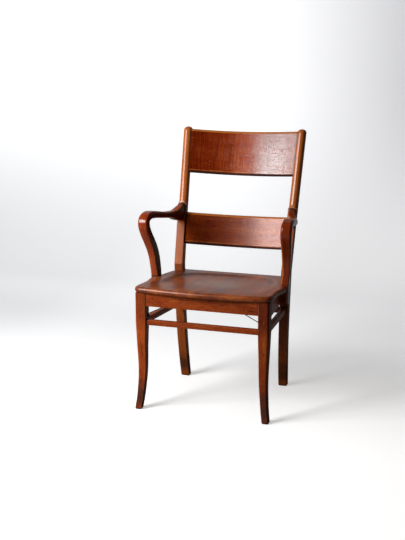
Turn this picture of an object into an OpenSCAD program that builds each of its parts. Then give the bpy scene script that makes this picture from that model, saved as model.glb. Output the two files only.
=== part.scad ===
// Wooden office armchair: saddled plank seat, bent arms, raked back with two curved rails.
// Frame: +Z up, the floor is z = 0, +X is the sitter's left, -Y is the front of the chair.
// The origin is the middle of the footprint of the whole chair, on the floor.

/* [Legs and posts] */
// Width over the outer faces of the front legs
front_w = 497; // [420:1:560]
// Side of the square front leg at the seat frame
leg_s = 39.5; // [30:0.5:50]
// Side of the front leg at the floor
foot_s = 25; // [18:0.5:34]
// How far the front leg's outer faces bow inwards half way down
leg_bow = 6.4; // [0:0.1:12]
// How far the front foot kicks out past the leg's upper faces
leg_flare = 4.5; // [0:0.1:15]
// Height at which the front leg's curve begins
leg_knee = 330; // [250:5:360]
// How much narrower the back posts stand at the floor than the front legs do at the seat
post_narrow = 64; // [20:1:110]
// Outward lean of each back post, in mm for each mm of height
post_splay = 0.0277; // [0:0.0001:0.06]
// Width of a back post, side to side
post_w = 29; // [22:0.5:40]
// Depth of a back post at the seat, front to back
post_d = 35.5; // [26:0.5:45]
// Depth of a back post at its foot
post_foot_d = 26.5; // [20:0.5:40]
// Depth of a back post beside the crest rail
post_top_d = 28; // [20:0.5:36]
// From the front face of the front legs to the front face of the back posts
post_y = 370; // [300:1:430]
// How far the foot of a back post sweeps to the rear
post_sweep = 40; // [0:1:80]
// Height at which that sweep begins
post_knee = 300; // [200:5:340]
// Height of the post's bend above the seat's front edge
bend_rise = 7; // [0:0.5:25]
// Rearward rake of the back, in degrees from upright
rake = 16.16; // [5:0.01:22]
// How far the posts stand above the crest rail
post_over = 4.8; // [2:0.1:15]
// From the top of the arm down to where the post's face turns from flat to half round
stop_drop = 3; // [0:0.5:8]

/* [Seat] */
// Height of the seat's top plane at its front edge
seat_front_h = 463; // [420:1:490]
// Fall of the seat towards the back, in degrees
seat_tilt = 2.45; // [0:0.05:5]
// Thickness of the seat plank, which has a full round edge
seat_t = 22.5; // [18:0.5:32]
// Overhang of the seat's bowed front edge before the legs, at the middle
seat_front = 27; // [5:1:45]
// Overhang of the seat past the outer faces of the legs, at its front corners
seat_side = 8; // [4:0.5:16]
// Overhang of the seat's back edge behind the posts
seat_rear = 2; // [-4:0.5:10]
// Depth of the dished part
dish_d = 9; // [3:0.5:13]
// Width of the flat border beside the dish
dish_border = 41.5; // [30:0.5:60]
// Width of the flat border behind the dish
dish_rear = 36.5; // [25:0.5:60]

/* [Seat frame] */
// From the seat's top down to the lower edge of the front apron
apron_front_drop = 71; // [62:0.5:90]
// From the seat's top down to the lower edge of the side and rear aprons
apron_side_drop = 79.5; // [74:0.5:95]
// Thickness of the front and side aprons
apron_t = 20; // [15:0.5:26]
// Thickness of the rear apron
apron_rear_t = 18; // [14:0.5:24]
// Setback of the front apron from the face of the legs
apron_inset = 2.4; // [0:0.1:8]
// Setback of the side aprons from the outer faces of the legs
apron_side_inset = 1.5; // [0:0.1:6]
// Height of the corner blocks
block_h = 22; // [15:1:24]
// Length of a corner block along each apron
block_l = 58; // [50:1:75]

/* [Stretchers] */
// From the seat's top down to the top of the front stretcher
stretch_front_drop = 122.3; // [115:0.1:180]
// From the seat's top down to the top of the side stretchers at the front leg
stretch_side_drop = 124; // [115:0.5:180]
// Fall of the side stretchers from front to back
stretch_fall = 10; // [0:1:30]
// From the seat's top down to the top of the rear stretcher
stretch_rear_drop = 138; // [125:1:200]
// Height of the front stretcher's section
stretch_front_h = 19.7; // [15:0.1:30]
// Height of the side and rear stretchers' section
stretch_h = 22.5; // [15:0.5:30]
// Thickness of every stretcher
stretch_t = 18; // [12:0.5:24]
// Setback of the front stretcher from the face of the legs
stretch_inset = 7; // [2:0.5:12]
// Rounding of the stretchers' long edges
stretch_r = 2.5; // [1:0.5:5]

/* [Back rails] */
// Height of the crest rail's lower edge, measured along the rake from the bend
crest_lo = 365; // [300:1:420]
// Height of the crest rail
crest_h = 173.5; // [100:0.5:220]
// How far the middle of the crest rail bows to the rear
crest_bow = 31; // [0:1:50]
// Height of the lower slat's lower edge, measured along the rake from the bend
slat_lo = 83; // [60:1:140]
// Height of the lower slat
slat_h = 125; // [60:1:160]
// How far the middle of the lower slat bows to the rear
slat_bow = 26; // [0:1:50]
// Thickness of the rails, which have full round edges top and bottom
rail_t = 19; // [14:0.5:26]
// Distance of the rails' front face behind the post's front, at their ends
rail_inset = 6; // [2:0.5:10]

/* [Arms] */
// Height of the arm's top above the seat's front edge
arm_rise = 242; // [215:1:270]
// From the front face of the legs to the middle of the arm's foot
arm_foot_y = 223.2; // [205:0.1:240]
// Depth of the arm's upright part at the seat, front to back
arm_foot_d = 41; // [30:0.5:50]
// Thickness of the arm's upright part at the seat, side to side
arm_foot_w = 30; // [24:0.5:40]
// Width of the arm at its front bend
arm_bend_w = 41; // [30:0.5:50]
// Thickness of the arm at its front bend
arm_bend_d = 30.5; // [22:0.5:40]
// Width of the level part of the arm before its joint
arm_w = 33; // [24:0.5:45]
// Thickness of the level part of the arm
arm_t = 23.5; // [18:0.5:34]
// Height of the arm's flared end on the post
arm_butt_h = 70; // [40:1:90]
// Rounding of the arm's long edges
arm_r = 5.5; // [3:0.5:9]
// From the seat's front edge down to the arm's lower end
arm_foot_drop = 77; // [66:0.5:79]
// How far the arm's bend stands in front of its foot
arm_reach = 75; // [50:1:95]
// How far the arm leans out at its bend
arm_lean = 15.8; // [5:0.1:25]

/* [Joints and metal] */
// Clearance round a tenon in its mortise
joint_gap = 0.2; // [0.1:0.05:0.5]
// Glue space at the end of a tenon
glue_gap = 1; // [0.5:0.1:3]
// Thickness of the tenons
tenon_t = 10; // [6:0.5:12]
// Length of the tenons
tenon_l = 15; // [10:0.5:18]
// Shoulder above and below a tenon
tenon_s = 6; // [3:0.5:10]
// Diameter of the steel brace wire
wire_d = 3.2; // [2:0.1:6]
// From the seat's top down to the wire's lower eye on the front leg
wire_drop = 111.5; // [100:0.5:114]
// Shank diameter of the wood screws
screw_d = 4.2; // [3:0.1:6]
// Head diameter of the wood screws
screw_head_d = 8.4; // [6:0.1:12]
// Clearance between a screw's shank and its hole
screw_gap = 0.1; // [0.05:0.05:0.5]
// Diameter of the wood plugs behind the arm joints
plug_d = 11; // [8:0.5:14]

/* [Hidden] */

wood = [0.45, 0.20, 0.09];
wood_dark = [0.38, 0.16, 0.07];
steel = [0.45, 0.45, 0.46];

// Outer face of the front legs and their inner face
leg_out = front_w / 2;
leg_in = leg_out - leg_s;
// Heights and widths that follow from the seat and the legs
post_foot_w = front_w - post_narrow;
bend_z = seat_front_h + bend_rise;
post_top = bend_z + (crest_lo + crest_h) * cos(rake) + post_over;
arm_top = seat_front_h + arm_rise;
arm_foot_z = seat_front_h - arm_foot_drop;
stop_z = arm_top - stop_drop;
seat_half_w = leg_out + seat_side;
seat_back = post_y + post_d + seat_rear;
dish_half_w = seat_half_w - dish_border;
dish_back = seat_back - dish_rear;
apron_front_z = seat_front_h - apron_front_drop;
apron_side_z = seat_front_h - apron_side_drop;
stretch_front_z = seat_front_h - stretch_front_drop;
stretch_side_z = seat_front_h - stretch_side_drop;
stretch_rear_z = seat_front_h - stretch_rear_drop;
wire_z = seat_front_h - wire_drop;
// Slope of the post's front face, rearward for each mm of height
rake_k = tan(rake);
// Rounding of the back rails' edges
rail_r = rail_t / 2 - 0.5;
// The crest rail reaches furthest to the rear, the seat's edge furthest to the front. The chair
// is moved so that the middle between the two lies over the origin.
crest_back_y = post_y + (rail_inset + crest_bow + rail_t - rail_r) * cos(rake)
    + (crest_lo + crest_h - rail_r) * sin(rake) + rail_r;
mid_y = (crest_back_y - seat_front) / 2;
// Plane through the seat's top edge
function seat_z(y) = seat_front_h - (y + 15) * tan(seat_tilt);
// Outer face of the back posts at a height
function post_out(z) = post_foot_w / 2 + post_splay * z;
function post_in(z) = post_out(z) - post_w;
// Front face of the back posts at a height
function post_front(z) = z < post_knee ? post_y + post_sweep * pow((post_knee - z) / post_knee, 1.8)
    : z < bend_z ? post_y : post_y + (z - bend_z) * rake_k;
// Smooth step from 0 to 1
function step01(t) = let (u = min(1, max(0, t))) u * u * (3 - 2 * u);
function post_depth(z) =
    z < post_knee ? post_foot_d + (post_d - post_foot_d) * (1 - pow((post_knee - z) / post_knee, 1.8))
    : post_d + (post_top_d - post_d) * step01((z - bend_z) / 170);
// Outer face of the side aprons, from front to back
apron_x0 = leg_out - apron_side_inset;
apron_mid_z = apron_side_z + 22;
apron_x1 = post_out(apron_mid_z) - apron_side_inset;
function apron_out(y) = apron_x0 + (apron_x1 - apron_x0) * (y - leg_s) / (post_y - leg_s);
apron_turn = atan((apron_x0 - apron_x1) / (post_y - leg_s));
// Middle line of the side stretchers
stretch_x0 = leg_out - leg_s / 2;
stretch_x1 = post_out(stretch_rear_z) - post_w / 2;
function stretch_x(y) = stretch_x0 + (stretch_x1 - stretch_x0) * (y - leg_s) / (post_y - leg_s);
// Slope of a smooth curve through the knots a, at knot i
function knot_m(a, i) = i == 0 ? (a[1][1] - a[0][1]) / (a[1][0] - a[0][0])
    : i == len(a) - 1 ? (a[i][1] - a[i - 1][1]) / (a[i][0] - a[i - 1][0])
    : (a[i + 1][1] - a[i - 1][1]) / (a[i + 1][0] - a[i - 1][0]);
// Number of the span that holds t
function span(a, t, i = 0) = i >= len(a) - 2 || t < a[i + 1][0] ? i : span(a, t, i + 1);
// Value at t of the smooth curve through the knots a
function curve(a, t) = let (i = span(a, t), h = a[i + 1][0] - a[i][0], u = (t - a[i][0]) / h)
    (2 * u * u * u - 3 * u * u + 1) * a[i][1] + (u * u * u - 2 * u * u + u) * h * knot_m(a, i)
    + (3 * u * u - 2 * u * u * u) * a[i + 1][1] + (u * u * u - u * u) * h * knot_m(a, i + 1);

// A closed skin over rings that all have the same number of points
module loft(rings) {
    n = len(rings[0]);
    m = len(rings);
    polyhedron(
        points = [for (r = rings) for (p = r) p],
        faces = concat(
            [[for (i = [0 : n - 1]) i]],
            [for (k = [0 : m - 2]) for (i = [0 : n - 1])
                [k * n + i, (k + 1) * n + (i + 1) % n, k * n + (i + 1) % n]],
            [for (k = [0 : m - 2]) for (i = [0 : n - 1])
                [k * n + i, (k + 1) * n + i, (k + 1) * n + (i + 1) % n]],
            [[for (i = [0 : n - 1]) (m - 1) * n + n - 1 - i]]),
        convexity = 6);
}

// Outline of a rounded rectangle, w by d about the origin, with radii rf in front and rb behind
function rounded(w, d, rf, rb, q = 3) = concat(
    [for (i = [0 : q]) [-w / 2 + rf * (1 - cos(90 * i / q)), -d / 2 + rf * (1 - sin(90 * i / q))]],
    [for (i = [0 : q]) [w / 2 - rf * (1 - sin(90 * i / q)), -d / 2 + rf * (1 - cos(90 * i / q))]],
    [for (i = [0 : q]) [w / 2 - rb * (1 - cos(90 * i / q)), d / 2 - rb * (1 - sin(90 * i / q))]],
    [for (i = [0 : q]) [-w / 2 + rb * (1 - sin(90 * i / q)), d / 2 - rb * (1 - cos(90 * i / q))]]);

// Stretched prism of a rounded rectangle a by b, along X, from x = 0 to l
module bar(l, a, b, r) {
    rotate([90, 0, 90])
    linear_extrude(height = l)
    union() {
        square([a, b - 2 * r], center = true);
        square([a - 2 * r, b], center = true);
        for (i = [-1, 1], j = [-1, 1])
            translate([i * (a / 2 - r), j * (b / 2 - r)])
            circle(r = r, $fn = 24);
    }
}

// Everything below the plane of the seat's underside
module below_seat() {
    translate([0, -15, seat_front_h - seat_t / cos(seat_tilt)])
    rotate([-seat_tilt, 0, 0])
    translate([-400, -200, -600])
    cube([800, 900, 600]);
}

// Frame of the raked back: its XZ plane is the front of the posts, +Z runs up along them
module on_back() {
    translate([0, post_y, bend_z])
    rotate([-rake, 0, 0])
    children();
}

// The chair's place over the origin
module placed() {
    translate([0, -mid_y, 0])
    children();
}

// A round-headed or flat wood screw along -Z, its head's underside at z = 0
module screw(l, head_h = 2.6) {
    cylinder(d = screw_head_d, h = head_h, $fn = 32);
    translate([0, 0, -l])
    cylinder(d = screw_d, h = l + 0.01, $fn = 24);
}
// Hole for that screw, with a recess of depth r for the head
module screw_hole(l, r = 2.8) {
    cylinder(d = screw_head_d + 0.4, h = r, $fn = 32);
    translate([0, 0, -l - 0.5])
    cylinder(d = screw_d + 2 * screw_gap, h = l + 1, $fn = 24);
}

// Front leg: square above, bowed and tapered below, kicked out at the foot, with a rounded arris
function leg_off(z) = curve([[0, -leg_flare], [leg_knee * 0.18, leg_bow * 0.38],
    [leg_knee * 0.455, leg_bow], [leg_knee * 0.76, leg_bow * 0.45], [leg_knee, 0]], z);
function leg_side(z) = curve([[0, foot_s], [leg_knee * 0.18, foot_s + 0.8],
    [leg_knee * 0.38, foot_s + 3.2], [leg_knee * 0.65, foot_s + 7.2],
    [leg_knee * 0.87, leg_s - 2.6], [leg_knee, leg_s]], z);
module leg_body() {
    zs = concat([for (i = [0 : 18]) leg_knee * i / 18], [seat_front_h]);
    intersection() {
        loft([for (z = zs)
            let (s = z < leg_knee ? leg_side(z) : leg_s, o = z < leg_knee ? leg_off(z) : 0)
            [for (p = rounded(s, s, 2.5, 2.5, 2))
                [leg_out - o - s / 2 + p[0], o + s / 2 + p[1], z]]]);
        below_seat();
    }
}
module front_leg() {
    color(wood)
    placed()
    difference() {
        leg_body();
        front_tenon(joint_gap);
        side_tenon(joint_gap);
        stretch_front_tenon(joint_gap);
        stretch_side_tenon(joint_gap);
        wire_screw_at(true);
    }
}

// Back post: swept foot, straight by the seat, raked and leaning out above it. Its face is flat
// up to the arm's joint and half round above, and it ends in a low dome.
module post_body() {
    low = [for (i = [0 : 12]) post_knee * i / 12];
    mid = [bend_z - 60, bend_z - 0.5, bend_z + 0.5, bend_z + 35, bend_z + 70, bend_z + 105,
           bend_z + 140, bend_z + 170];
    top = [stop_z, stop_z + 0.5, post_top - 90, post_top - 14];
    dome = [for (a = [20 : 20 : 80]) post_top - 14 + 14 * sin(a) / sin(80)];
    loft(concat(
        [for (z = concat(low, mid, top)) post_ring(z, z > stop_z ? post_w / 2 - 0.2 : 3, 0)],
        [for (z = dome) post_ring(z, post_w / 2 - 0.2,
            1 - sqrt(1 - 0.97 * pow((z - post_top + 14) / 14, 2)))]));
}
function post_ring(z, rf, shrink) =
    let (d = post_depth(z), x = post_out(z) - post_w / 2, y = post_front(z) + d / 2)
    [for (p = rounded(post_w, d, rf, 3)) [x + p[0] * (1 - shrink), y + p[1] * (1 - shrink), z]];
// The pointed end of the flat face, where the half round begins
module post_stop() {
    x = post_out(stop_z) - post_w / 2;
    on_back()
    translate([x, 0, (stop_z - bend_z) / cos(rake)])
    rotate([90, 0, 0])
    translate([0, 0, -post_w / 2 + 1])
    linear_extrude(height = post_w / 2 - 1)
    polygon([[-post_w / 2 + 3, -1], [post_w / 2 - 3, -1], [0.6, 12], [0, 12]]);
}
module back_post() {
    color(wood)
    placed()
    difference() {
        union() {
            post_body();
            post_stop();
        }
        side_tenon(joint_gap);
        rear_tenon(joint_gap);
        stretch_side_tenon(joint_gap);
        stretch_rear_tenon(joint_gap);
        rail_tenon(crest_lo, crest_h, crest_bow, joint_gap);
        rail_tenon(slat_lo, slat_h, slat_bow, joint_gap);
        arm_screw_at(true);
        arm_plug_at(0.05);
    }
}

// A back rail: a panel bent round the sitter's back, with full round edges top and bottom.
// z0 is its lower edge along the rake, h its height, bow how far its middle stands back.
function rail_half(z0) = post_in(bend_z + z0 * cos(rake));
function rail_radius(z0, bow) = let (c = rail_half(z0)) (c * c + bow * bow) / (2 * bow);
module rail_sweep(z0, h, bow, t, r) {
    rad = rail_radius(z0 + h / 2, bow);
    c = rail_half(z0 + h / 2);
    a = asin((c + 24) / (rad + t));
    translate([0, bow - rad + rail_inset, z0])
    rotate([0, 0, 90 - a])
    rotate_extrude(angle = 2 * a, $fn = 180)
    translate([rad, 0])
    union() {
        translate([(rail_t - t) / 2, r])
        square([t, h - 2 * r]);
        translate([(rail_t - t) / 2 + r, 0])
        square([max(t - 2 * r, 0.01), h]);
        for (i = [0, 1], j = [0, 1])
            translate([(rail_t - t) / 2 + r + i * (t - 2 * r), r + j * (h - 2 * r)])
            circle(r = r, $fn = 32);
    }
}
module rail_tenon(z0, h, bow, gap) {
    s = gap > 0 ? glue_gap : 0;
    c = rail_half(z0 + h / 2);
    rad = rail_radius(z0 + h / 2, bow);
    lean = asin(c / rad);
    on_back()
    translate([c, rail_inset + rail_t / 2, z0 + h / 2])
    rotate([0, atan(post_splay * cos(rake)), -lean])
    translate([-8, -tenon_t / 2 - gap, -h / 2 + 2 * tenon_s - gap])
    cube([8 + tenon_l + 2 + s, tenon_t + 2 * gap, h - 4 * tenon_s + 2 * gap]);
}
module back_rail(z0, h, bow) {
    lean = atan(post_splay * cos(rake));
    c = rail_half(z0 + h / 2);
    color(wood)
    placed() {
        union() {
            on_back()
            intersection() {
                rail_sweep(z0, h, bow, rail_t, rail_r);
                translate([0, 200, z0 + h / 2])
                rotate([90, 0, 0])
                linear_extrude(height = 400)
                polygon([[-c + h * tan(lean), -h], [c - h * tan(lean), -h],
                         [c + h * tan(lean), h], [-c - h * tan(lean), h]]);
            }
            for (m = [0, 1])
                mirror([m, 0, 0])
                rail_tenon(z0, h, bow, 0);
        }
    }
}

// Seat plank: bowed front, swelling lips before the arms, drawn in to the posts behind. Each knot
// is a share of half the width, then a share of the front overhang (below 0) or of the depth.
seat_shape = [[0, -1], [0.234, -0.948], [0.468, -0.793], [0.682, -0.537], [0.8265, -0.352],
    [0.92, -0.13], [0.971, 0.017], [0.995, 0.059], [1, 0.123], [0.991, 0.216], [0.99, 0.29],
    [1.006, 0.368], [1.0195, 0.437], [1.0155, 0.503], [0.992, 0.579], [0.969, 0.643],
    [0.951, 0.736], [0.93, 0.829], [0.8985, 0.898], [0.8655, 0.962], [0.803, 0.989],
    [0.725, 1], [0.483, 1.002], [0.242, 1.002]];
seat_half = [for (k = seat_shape)
    [k[0] * seat_half_w, k[1] * (k[1] < 0 ? seat_front : seat_back)]];
seat_knots = concat(seat_half, [[0, 1.002 * seat_back]],
    [for (i = [len(seat_half) - 1 : -1 : 1]) [-seat_half[i][0], seat_half[i][1]]]);
function catmull(a, b, c, d, t) = 0.5 * (2 * b + (c - a) * t + (2 * a - 5 * b + 4 * c - d) * t * t
    + (3 * b - a - 3 * c + d) * t * t * t);
seat_n = len(seat_knots);
seat_line = [for (i = [0 : seat_n - 1]) for (t = [0, 0.5])
    catmull(seat_knots[(i + seat_n - 1) % seat_n], seat_knots[i], seat_knots[(i + 1) % seat_n],
        seat_knots[(i + 2) % seat_n], t)];
seat_m = len(seat_line);
seat_out = [for (i = [0 : seat_m - 1])
    let (d = seat_line[(i + 1) % seat_m] - seat_line[(i + seat_m - 1) % seat_m])
    [d[1], -d[0]] / norm(d)];
// Depth of the dish: a rounded rim behind and at the sides, running out to the front
dish_y = 0.466 * seat_back;
function rim(x, y) = let (b = max(0, y - dish_y) / (dish_back - dish_y))
    pow(pow(abs(x) / dish_half_w, 3) + pow(b, 3), 1 / 3);
function dish(x, y) = dish_d * step01((1.02 - rim(x, y)) / 0.3)
    * step01((y / seat_back + 0.02) / 0.43);
seat_rings = concat(
    [for (a = [-90 : 22.5 : 90]) [for (i = [0 : seat_m - 1])
        let (p = seat_line[i] - seat_out[i] * seat_t / 2 * (1 - cos(a)))
        [p[0], p[1], seat_z(p[1]) - seat_t / 2 + seat_t / 2 * sin(a)]]],
    [for (f = [0.97, 0.94, 0.91, 0.88, 0.84, 0.8, 0.74, 0.64, 0.5, 0.34, 0.17, 0.03])
        [for (i = [0 : seat_m - 1])
            let (p = [0, dish_y] + f * (seat_line[i] - seat_out[i] * seat_t / 2 - [0, dish_y]))
            [p[0], p[1], seat_z(p[1]) - dish(p[0], p[1])]]]);
module seat_notches() {
    for (m = [0, 1]) mirror([m, 0, 0]) {
        // Round the arm
        translate([arm_in() - 0.3, arm_foot_y - arm_foot_d / 2 - 0.4, seat_front_h - 80])
        cube([80, arm_foot_d + 0.8, 120]);
        // Round the post
        translate([0, 0, bend_z - 60])
        rotate([0, atan(post_splay), 0])
        translate([post_in(bend_z - 60) - 0.4, post_y - 0.4, -60])
        cube([60, 80, 140]);
    }
}
module seat() {
    color(wood)
    placed()
    difference() {
        loft(seat_rings);
        seat_notches();
        for (m = [0, 1]) mirror([m, 0, 0]) {
            seat_screw_at(true);
            wire_screw_top(true);
        }
    }
}

// Aprons, and the heights of their tenons
front_tenon_h = apron_front_drop - seat_t - 2 * tenon_s - 0.5;
side_tenon_h = apron_side_drop - seat_t - (post_y + 15) * tan(seat_tilt) - 2 * tenon_s - 0.5;
module front_tenon(gap) {
    s = gap > 0 ? glue_gap : 0;
    translate([leg_in - 3, apron_inset + apron_t / 2 - tenon_t / 2 - gap, apron_front_z + tenon_s - gap])
    cube([3 + tenon_l + s, tenon_t + 2 * gap, front_tenon_h + 2 * gap]);
}
module front_apron() {
    color(wood)
    placed()
    difference() {
        intersection() {
            union() {
                translate([-leg_in, apron_inset + apron_t / 2, apron_front_z + 40])
                bar(2 * leg_in, apron_t, 80, 1.5);
                for (m = [0, 1]) mirror([m, 0, 0]) front_tenon(0);
            }
            below_seat();
        }
        for (m = [0, 1]) mirror([m, 0, 0]) block_screws_front(true);
    }
}
module rear_tenon(gap) {
    s = gap > 0 ? glue_gap : 0;
    y = post_y + post_d - 3 - apron_rear_t / 2;
    translate([post_in(apron_side_z + 20) - 3, y - tenon_t / 2 - gap, apron_side_z + tenon_s - gap])
    cube([3 + tenon_l + s, tenon_t + 2 * gap, side_tenon_h + 2 * gap]);
}
module rear_apron() {
    y = post_y + post_d - 3 - apron_rear_t / 2;
    color(wood_dark)
    placed()
    difference() {
        intersection() {
            union() {
                translate([0, y + apron_rear_t / 2, apron_side_z])
                rotate([90, 0, 0])
                linear_extrude(height = apron_rear_t)
                polygon([[-post_in(apron_side_z), 0], [post_in(apron_side_z), 0],
                         [post_in(apron_side_z + 60), 60], [-post_in(apron_side_z + 60), 60]]);
                for (m = [0, 1]) mirror([m, 0, 0]) rear_tenon(0);
            }
            below_seat();
        }
        for (m = [0, 1]) mirror([m, 0, 0]) block_screws_rear(true);
    }
}
// Tenons at both ends of a side apron
module side_tenon(gap) {
    s = gap > 0 ? glue_gap : 0;
    l = (post_y - leg_s) / cos(apron_turn);
    translate([apron_x0 - apron_t / 2, leg_s, apron_side_z + tenon_s - gap])
    rotate([0, 0, apron_turn])
    translate([-tenon_t / 2 - gap, -tenon_l - s, 0])
    cube([tenon_t + 2 * gap, l + 2 * tenon_l + 2 * s, side_tenon_h + 2 * gap]);
}
module side_apron() {
    color(wood)
    placed()
    difference() {
        intersection() {
            union() {
                translate([0, 0, apron_side_z])
                linear_extrude(height = 90)
                polygon([[apron_x0, leg_s], [apron_x1, post_y], [apron_x1 - apron_t, post_y],
                         [apron_x0 - apron_t, leg_s]]);
                side_tenon(0);
            }
            below_seat();
        }
        arm_foot_screws_at(true);
        block_screws_front(true);
        block_screws_rear(true);
    }
}

// Stretchers
module stretch_front_tenon(gap) {
    s = gap > 0 ? glue_gap : 0;
    translate([leg_in - 3, stretch_inset + stretch_t / 2 - 5 - gap,
        stretch_front_z - stretch_front_h + 3 - gap])
    cube([3 + tenon_l + s, 10 + 2 * gap, stretch_front_h - 6 + 2 * gap]);
}
module front_stretcher() {
    color(wood)
    placed() {
        union() {
            translate([-leg_in, stretch_inset + stretch_t / 2, stretch_front_z - stretch_front_h / 2])
            bar(2 * leg_in, stretch_t, stretch_front_h, stretch_r);
            for (m = [0, 1]) mirror([m, 0, 0]) stretch_front_tenon(0);
        }
    }
}
stretch_rear_y = post_y + post_d - 4 - stretch_t / 2;
module stretch_rear_tenon(gap) {
    s = gap > 0 ? glue_gap : 0;
    translate([post_in(stretch_rear_z) - 3, stretch_rear_y - 5 - gap, stretch_rear_z - stretch_h + 3 - gap])
    cube([3 + tenon_l + s, 10 + 2 * gap, stretch_h - 6 + 2 * gap]);
}
module rear_stretcher() {
    z = stretch_rear_z - stretch_h / 2;
    color(wood_dark)
    placed()
    union() {
        intersection() {
            translate([-leg_out, stretch_rear_y, z])
            bar(2 * leg_out, stretch_t, stretch_h, stretch_r);
            translate([0, stretch_rear_y + 20, z])
            rotate([90, 0, 0])
            linear_extrude(height = 40)
            polygon([[-post_in(z - 20), -20], [post_in(z - 20), -20],
                     [post_in(z + 20), 20], [-post_in(z + 20), 20]]);
        }
        for (m = [0, 1]) mirror([m, 0, 0]) stretch_rear_tenon(0);
    }
}
stretch_turn = atan((stretch_x0 - stretch_x1) / (post_y - leg_s));
stretch_dip = atan(stretch_fall / (post_y - leg_s));
module stretch_side_tenon(gap) {
    s = gap > 0 ? glue_gap : 0;
    l = (post_y - leg_s) / cos(stretch_turn);
    translate([stretch_x0, leg_s, stretch_side_z - stretch_h / 2])
    rotate([-stretch_dip, 0, stretch_turn])
    translate([-5 - gap, -tenon_l - s, -stretch_h / 2 + 3 - gap])
    cube([10 + 2 * gap, l + 2 * tenon_l + 2 * s, stretch_h - 6 + 2 * gap]);
}
module side_stretcher() {
    l = (post_y - leg_s) / cos(stretch_turn);
    color(wood)
    placed()
    union() {
        intersection() {
            translate([stretch_x0, leg_s, stretch_side_z - stretch_h / 2])
            rotate([-stretch_dip, 0, stretch_turn])
            rotate([0, 0, 90])
            translate([-20, 0, 0])
            bar(l + 40, stretch_t, stretch_h, stretch_r);
            translate([0, leg_s, stretch_side_z - 150])
            cube([leg_out + 100, post_y - leg_s, 300]);
        }
        stretch_side_tenon(0);
    }
}

// Arm, one piece: it stands outside the side apron, leans out and forward in an S, bends back
// at the top, runs level to the post and flares out to its joint there.
function arm_in() = apron_out(arm_foot_y);
arm_foot_x = arm_in() + arm_foot_w / 2 + 2.3;
// The level part ends inside the post, in the middle of its width
arm_end_z = arm_top - arm_butt_h / 2 - 2;
arm_end_x = post_out(arm_end_z) - post_w / 2 - 0.7;
arm_run = post_front(arm_end_z) + 0.7 * post_w - arm_foot_y;
// Width of the arm's end on the post
arm_end_w = post_w - 2;
// Mixes the four values of v: 0 is the foot, 1 the bend, 2 the level part, 3 the joint
function part_of(v, f) = let (i = min(2, max(0, floor(f)))) v[i] + (f - i) * (v[i + 1] - v[i]);
// Stations along the arm as shares of the sizes above: lean out (or in to the post, below 0),
// run back (or reach forward, below 0), rise (or drop, below 0), width, depth, turn in degrees
arm_shape = [
    [-0.076, 0, -1.52, 0, 0, 0], [-0.076, 0, -1.026, 0, 0, 0], [-0.076, 0, -0.429, 0, 0, 0],
    [-0.055, 0.0045, 0, -0.05, 0.048, 4], [0.044, -0.015, 0.1445, -0.045, 0.143, 11],
    [0.196, -0.108, 0.289, 0.136, 0.286, 10], [0.405, -0.28, 0.4255, 0.364, 0.448, 9],
    [0.639, -0.529, 0.5535, 0.591, 0.667, 7], [0.848, -0.817, 0.6835, 0.818, 0.857, 5.5],
    [0.981, -0.992, 0.806, 1, 0.952, 4], [1, -0.907, 0.8965, 1, 1.143, 4],
    [0.873, -0.509, 0.938, 1.188, 1.286, 4], [0.658, 0.0255, 0.923, 1.3125, 1.571, 4],
    [0.373, 0.2355, 0.8905, 1.625, 1.786, 4], [-0.018, 0.4355, 0.8595, 1.875, 2, 4],
    [-0.303, 0.582, 0.845, 2.083, 2.065, 4], [-0.561, 0.689, 0.8265, 2.333, 2.355, 4],
    [-0.788, 0.791, 0.8285, 2.583, 2.677, 3], [-0.924, 0.889, 0.837, 3, 2.925, 2],
    [-1, 1, 0.847, 3, 3.086, 1]];
arm_st = [for (k = arm_shape) [
    arm_foot_x + k[0] * (k[0] < 0 ? arm_foot_x - arm_end_x : arm_lean),
    arm_foot_y + k[1] * (k[1] < 0 ? arm_reach : arm_run),
    seat_front_h + k[2] * (k[2] < 0 ? arm_foot_drop : arm_rise),
    part_of([arm_foot_w, arm_bend_w, arm_w, arm_end_w], k[3]),
    part_of([arm_foot_d, arm_bend_d, arm_t, arm_butt_h], k[4]),
    k[5]]];
arm_n = len(arm_st);
arm_path = concat(
    [for (i = [1 : arm_n - 3]) for (t = [0, 0.25, 0.5, 0.75])
        catmull(arm_st[i - 1], arm_st[i], arm_st[i + 1], arm_st[i + 2], t)],
    [arm_st[arm_n - 2], arm_st[arm_n - 1]]);
function dir3(v) = v / norm(v);
function part3(v) = [v[0], v[1], v[2]];
function arm_ring(k) =
    let (n = len(arm_path), c = arm_path[k],
        t = dir3(part3(arm_path[min(n - 1, k + 1)]) - part3(arm_path[max(0, k - 1)])),
        w0 = [cos(c[5]), sin(c[5]), 0],
        w = dir3(w0 - (w0 * t) * t),
        d = cross(t, w))
    [for (p = rounded(c[3], c[4], arm_r, arm_r)) part3(c) + p[0] * w + p[1] * d];
module arm_body() {
    intersection() {
        difference() {
            loft([for (k = [0 : len(arm_path) - 1]) arm_ring(k)]);
            // Seat rail side, flat against the apron
            translate([apron_x0, leg_s, arm_foot_z - 86])
            rotate([0, 0, apron_turn])
            translate([-60, 0, 0])
            cube([60, post_y, arm_foot_drop - 10 + 86]);
            // Post side, flat against the face of the post
            on_back()
            cube([400, 100, 400]);
        }
        translate([arm_end_x - 70, 0, arm_foot_z])
        cube([200, 600, arm_rise + 160]);
    }
}
module arm() {
    color(wood)
    placed()
    difference() {
        arm_body();
        arm_foot_screws_at(true);
        arm_screw_at(true);
    }
}

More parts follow.
